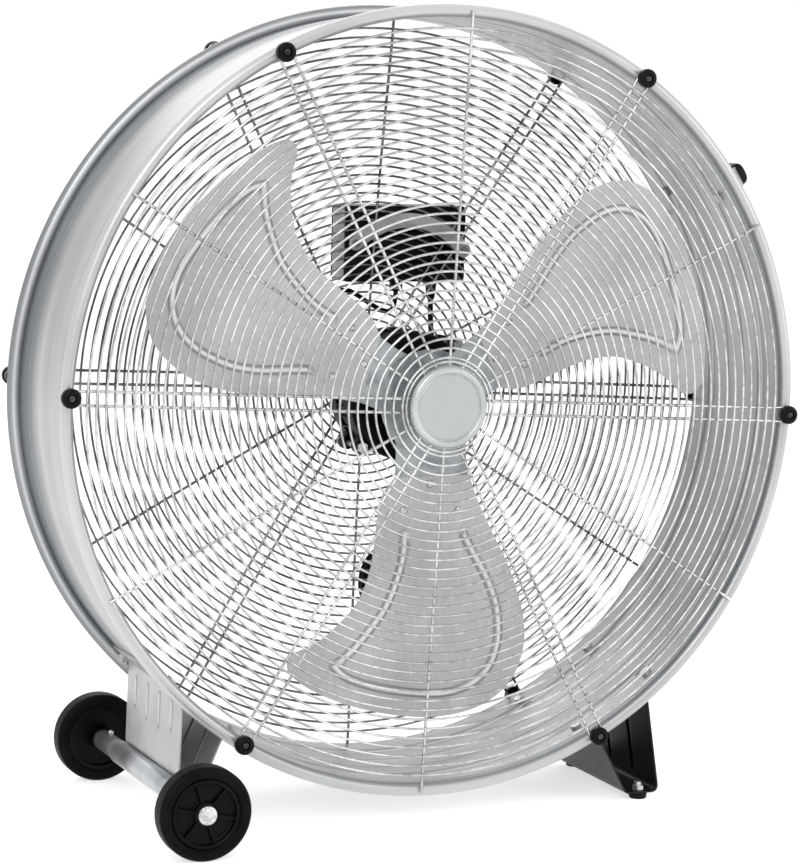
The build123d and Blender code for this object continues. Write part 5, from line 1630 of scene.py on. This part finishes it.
@dataclass(frozen=True)
class Handle(Assembly):
    """The carrying handle: its angle above the level in degrees, and its sizes in millimetres."""

    angle: float = 32.8
    seat: float = 449.5
    grip_reach: float = 44.0
    grip_rounding: float = 5.0
    grip_wide: float = 14.2
    grip_tall: float = 11.7
    grip_rise: float = 45.5
    grip_rows: int = 61
    grip_sides: int = 40

    def build(self) -> None:
        """The strip handle on the drum and its moulded grip."""
        corners = [(80.0, 0.0), (56.0, 0.0), (44.0, 44.0), (-44.0, 44.0), (-56.0, 0.0), (-80.0, 0.0)]
        path = filleted(corners, 7.0, 2.0)
        strip = pressed_sheet(path, 3.0, 12.4, 3.1, None, 5.0)
        self.add("handle_strip", strip.moved(self.placing()), "strap", Body.HOUSING,
                 ["handle_bracket"], 40)
        rows, sides, reach = self.grip_rows, self.grip_sides, self.grip_reach
        angles = np.linspace(0, 2 * math.pi, sides, endpoint=False)
        flat, high = (np.sign(f) * np.abs(f) ** 0.7 for f in (np.cos(angles), np.sin(angles)))
        rings = []
        for place in np.linspace(-reach, reach, rows):
            end = max(abs(place) - (reach - self.grip_rounding), 0.0) / self.grip_rounding
            ease = math.sqrt(max(1 - end * end * 0.75, 0.0))
            rings.append(np.stack([np.full(sides, place), self.grip_wide * ease * flat,
                                   self.grip_rise + self.grip_tall * ease * high], -1))
        local = np.vstack(rings) * MM
        local[:, 2] += AXIS_HEIGHT
        faces = grid_faces(rows, sides, False, True)
        faces += [tuple(range(sides)), tuple(reversed(range((rows - 1) * sides, rows * sides)))]
        self.add("handle_sleeve", Shape(local, faces).moved(self.placing()), "grip", Body.HOUSING,
                 ["handle_grip"], 50)

    def placing(self) -> Matrix:
        """Places a shape drawn along X, with its outward side up, on the drum.

        Returns:
            The placing matrix.
        """
        turn = math.radians(self.angle)
        outward = Vector((math.cos(turn), 0, math.sin(turn)))
        along = Vector((0, 1, 0))
        across = outward.cross(along)
        base = outward * (self.seat * MM) + Vector((0, 0, AXIS_HEIGHT))
        local = Matrix.Translation((0, 0, -AXIS_HEIGHT))
        axes = Matrix((
            (along.x, across.x, outward.x, base.x),
            (along.y, across.y, outward.y, base.y),
            (along.z, across.z, outward.z, base.z),
            (0, 0, 0, 1),
        ))
        return axes @ local


@dataclass(frozen=True)
class Cords(Assembly):
    """The mains lead with its plug, and the motor cable, with radii in millimetres."""

    lead_radius: float = 3.5
    cable_radius: float = 3.0
    routes: Routes = Routes()

    def build(self) -> None:
        """The mains lead with its stowed coil and plug, and the motor cable."""
        plug = self.plug()
        points = self.routes.lead_points()
        lead = self.curve("mains_cord", points, self.lead_radius, "cord",
                          ["mains_lead", "mains_lead_coil"])
        self.curve("motor_flex", self.routes.motor_points(), self.cable_radius, "cord", ["motor_cable"])
        gland = [(8.0, 0.0), (8.0, 3.0), (7.2, 4.0), (6.9, 8.0), (5.2, 21.0), (4.2, 22.0), (3.3, 22.0)]
        ringed = []
        for radius, depth in gland[3:5]:
            ringed += [(radius, depth), (radius - 0.6, depth + 1.2), (radius - 0.2, depth + 2.0)]
        outline = gland[:3] + ringed + gland[5:]
        self.add("lead_strain_relief", self.hanging(outline, (96.0, 158.0, 125.0)), "black_plastic",
                 Body.HOUSING, ["lead_gland"], 40)

    @staticmethod
    def hanging(outline: Sequence[Pair], at: Point) -> Shape:
        """A turned piece that hangs straight down from a point, in millimetres off the axis."""
        place = Matrix.Translation((at[0] * MM, at[1] * MM, at[2] * MM + AXIS_HEIGHT))
        return spun(outline, 36, centre=(0, 0)).moved(place @ Matrix.Rotation(math.radians(-90), 4, "X"))

    def curve(self, name: str, points: Sequence[Point], radius: float, key: str,
              replaces: Sequence[str]) -> bpy.types.Object:
        """A cord as a smooth curve.

        Args:
            name: Its name.
            points: Its control points in metres.
            radius: Its radius in millimetres.
            key: Its finish.
            replaces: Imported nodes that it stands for.

        Returns:
            The curve object.
        """
        data = bpy.data.curves.new(name, "CURVE")
        data.dimensions = "3D"
        data.bevel_depth = radius * MM
        data.bevel_resolution = 3
        data.use_fill_caps = True
        spline = data.splines.new("NURBS")
        spline.points.add(len(points) - 1)
        for target, place in zip(spline.points, points):
            target.co = (*place, 1.0)
        spline.order_u = 3
        spline.use_endpoint_u = True
        spline.resolution_u = 4
        data.materials.append(self.shop.finish(key))
        cord = bpy.data.objects.new(name, data)
        bpy.context.scene.collection.objects.link(cord)
        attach(cord, Body.HOUSING.value)
        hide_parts(*replaces)
        LOG.info("cord %s: %d control points", name, len(points))
        return cord

    def plug(self) -> list[bpy.types.Object]:
        """The moulded two-pin plug at the lead's end.

        Returns:
            Its pieces.
        """
        top = (111.0, 149.4, -275.0)
        relief = [(3.6, 0.0), (5.0, 0.4)]
        for index in range(5):
            depth, wide = 4.0 + index * 4.8, 5.3 + index * 0.62
            relief += [(wide, depth), (wide - 0.9, depth + 1.4), (wide - 0.9, depth + 2.4),
                       (wide + 0.2, depth + 3.6)]
        body = [(8.0, 28.0), (13.0, 29.2), (16.6, 32.0), (17.9, 38.0), (17.9, 52.0), (17.0, 60.6),
                (15.6, 62.0), (0.02, 62.0)]
        shell = self.add("plug_shell", self.hanging(relief + body, top), "plug", Body.HOUSING,
                         ["mains_plug"], 40)
        pins = []
        for side in (-1, 1):
            pin = [(2.4, 61.8), (2.4, 79.2), (2.1, 80.3), (1.3, 80.9), (0.02, 81.0)]
            pins.append(self.hanging(pin, (top[0] + side * 9.5, top[1], top[2])))
        prongs = self.add("plug_prongs", combined(pins), "pin", Body.HOUSING, [], 40)
        return [shell, prongs]


# --------------------------------------------------------------------------- studio


@dataclass(frozen=True)
class Camera:
    """The photograph's camera, as fitted to the drum's rims, knobs, feet and wheels."""

    azimuth: float = -23.23
    elevation: float = 7.1
    roll: float = 1.52
    distance: float = 3.5346
    focal_pixels: float = 2954.23
    frame_height: float = 866.0
    target: Point = (-0.00839, 0.0, AXIS_HEIGHT - 0.04505)

    def place(self) -> None:
        """Makes the camera and sets it as the scene's own."""
        data = bpy.data.cameras.new("photo_camera")
        data.sensor_width = 36.0
        data.lens = 36.0 * self.focal_pixels / self.frame_height
        data.clip_end = 60.0
        camera = bpy.data.objects.new("photo_camera", data)
        bpy.context.scene.collection.objects.link(camera)
        turn, rise = math.radians(self.azimuth), math.radians(self.elevation)
        back = Vector((math.sin(turn) * math.cos(rise), -math.cos(turn) * math.cos(rise), math.sin(rise)))
        position = Vector(self.target) + back * self.distance
        right = (-back).cross(Vector((0, 0, 1))).normalized()
        above = right.cross(-back)
        tilt = math.radians(self.roll)
        side = right * math.cos(tilt) + above * math.sin(tilt)
        top = above * math.cos(tilt) - right * math.sin(tilt)
        rows = [[side[i], top[i], back[i], position[i]] for i in range(3)] + [[0, 0, 0, 1]]
        camera.matrix_world = Matrix(rows)
        bpy.context.scene.camera = camera


@dataclass(frozen=True)
class Studio:
    """The pale floor, the white surroundings and the lamps: name, place, side and power."""

    lamps: tuple[tuple[str, Point, float, float], ...] = (
        ("key_lamp", (-1.6, -3.2, 2.6), 2.4, 50.0),
        ("fill_lamp", (2.8, -2.4, 1.4), 2.0, 20.0),
        ("back_lamp", (0.6, 2.8, 2.4), 2.4, 22.0),
    )

    def build(self) -> None:
        """Makes the whole studio."""
        self.world()
        self.floor()
        for lamp in self.lamps:
            self.lamp(*lamp)
        bpy.context.scene.view_settings.view_transform = "Standard"

    @staticmethod
    def looked_at(tree: bpy.types.NodeTree) -> Sock:
        """Tells the rays of the camera, gloss and glass from those that carry light.

        Args:
            tree: The nodes of a material or the world.

        Returns:
            1 for a ray that looks, and 0 for one that lights.
        """
        path = tree.nodes.new("ShaderNodeLightPath")
        seen, gloss, clear = (Sock(tree, path.outputs[f"Is {kind} Ray"])
                              for kind in ("Camera", "Glossy", "Transmission"))
        return (seen + gloss + clear).limited()

    @staticmethod
    def world() -> None:
        """White where the camera, gloss and glass look, and softer as a light."""
        world = bpy.data.worlds.new("studio_world")
        bpy.context.scene.world = world
        world.use_nodes = True
        tree = world.node_tree
        tree.nodes.clear()
        output = tree.nodes.new("ShaderNodeOutputWorld")
        background = tree.nodes.new("ShaderNodeBackground")
        background.inputs["Color"].default_value = (1.0, 1.0, 1.0, 1.0)
        (Studio.looked_at(tree) * 0.45 + 0.55).feed(background.inputs["Strength"])
        tree.links.new(background.outputs[0], output.inputs[0])

    @staticmethod
    def floor() -> None:
        """A pale floor that keeps the fan's soft shadow."""
        mesh = bpy.data.meshes.new("studio_floor")
        reach = 30.0
        mesh.from_pydata([(-reach, -reach, 0), (reach, -reach, 0), (reach, reach, 0), (-reach, reach, 0)], [],
                         [(0, 1, 2, 3)])
        floor = bpy.data.objects.new("studio_floor", mesh)
        bpy.context.scene.collection.objects.link(floor)
        material = bpy.data.materials.new("floor_paint")
        material.use_nodes = True
        tree = material.node_tree
        tree.nodes.clear()
        output = tree.nodes.new("ShaderNodeOutputMaterial")
        diffuse = tree.nodes.new("ShaderNodeBsdfDiffuse")
        diffuse.inputs["Color"].default_value = (0.93, 0.93, 0.93, 1.0)
        glow = tree.nodes.new("ShaderNodeEmission")
        glow.inputs["Color"].default_value = (1.0, 1.0, 1.0, 1.0)
        both = tree.nodes.new("ShaderNodeAddShader")
        (Studio.looked_at(tree) * 0.62).feed(glow.inputs["Strength"])
        tree.links.new(diffuse.outputs[0], both.inputs[0])
        tree.links.new(glow.outputs[0], both.inputs[1])
        tree.links.new(both.outputs[0], output.inputs[0])
        mesh.materials.append(material)

    @staticmethod
    def lamp(name: str, place: Point, size: float, power: float) -> None:
        """A square soft lamp that faces the fan.

        Args:
            name: Its name.
            place: Where it stands, in metres.
            size: Length of its side.
            power: Its power in watts.
        """
        data = bpy.data.lights.new(name, "AREA")
        data.size = size
        data.energy = power
        lamp = bpy.data.objects.new(name, data)
        bpy.context.scene.collection.objects.link(lamp)
        lamp.location = place
        aim = Vector((0.0, 0.0, 0.5)) - Vector(place)
        lamp.rotation_euler = aim.to_track_quat("-Z", "Y").to_euler()


def main() -> None:
    """Builds the dressed fan in its studio."""
    logging.basicConfig(level=logging.INFO, format="%(name)s: %(message)s")
    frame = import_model()
    shop = Workshop(frame)
    shop.dress_nodes()
    DrumSkin(shop).build()
    guards = (WireGuard(shop, FRONT, "front", "wire_bright"), WireGuard(shop, REAR, "rear", "wire_painted_shade"))
    for guard in guards:
        guard.wires()
    for guard in guards:
        guard.knobs()
    Badge(shop).build()
    Rotor(shop).build()
    Motor(shop).build()
    ControlBox(shop).build()
    FootBracket(shop).build()
    WheelBracket(shop).build()
    Wheel(shop, -1, "front", Body.FRONT_WHEEL).build()
    Wheel(shop, 1, "rear", Body.REAR_WHEEL).build()
    Handle(shop).build()
    Cords(shop).build()
    Camera().place()
    Studio().build()


if __name__ == "__main__":
    main()
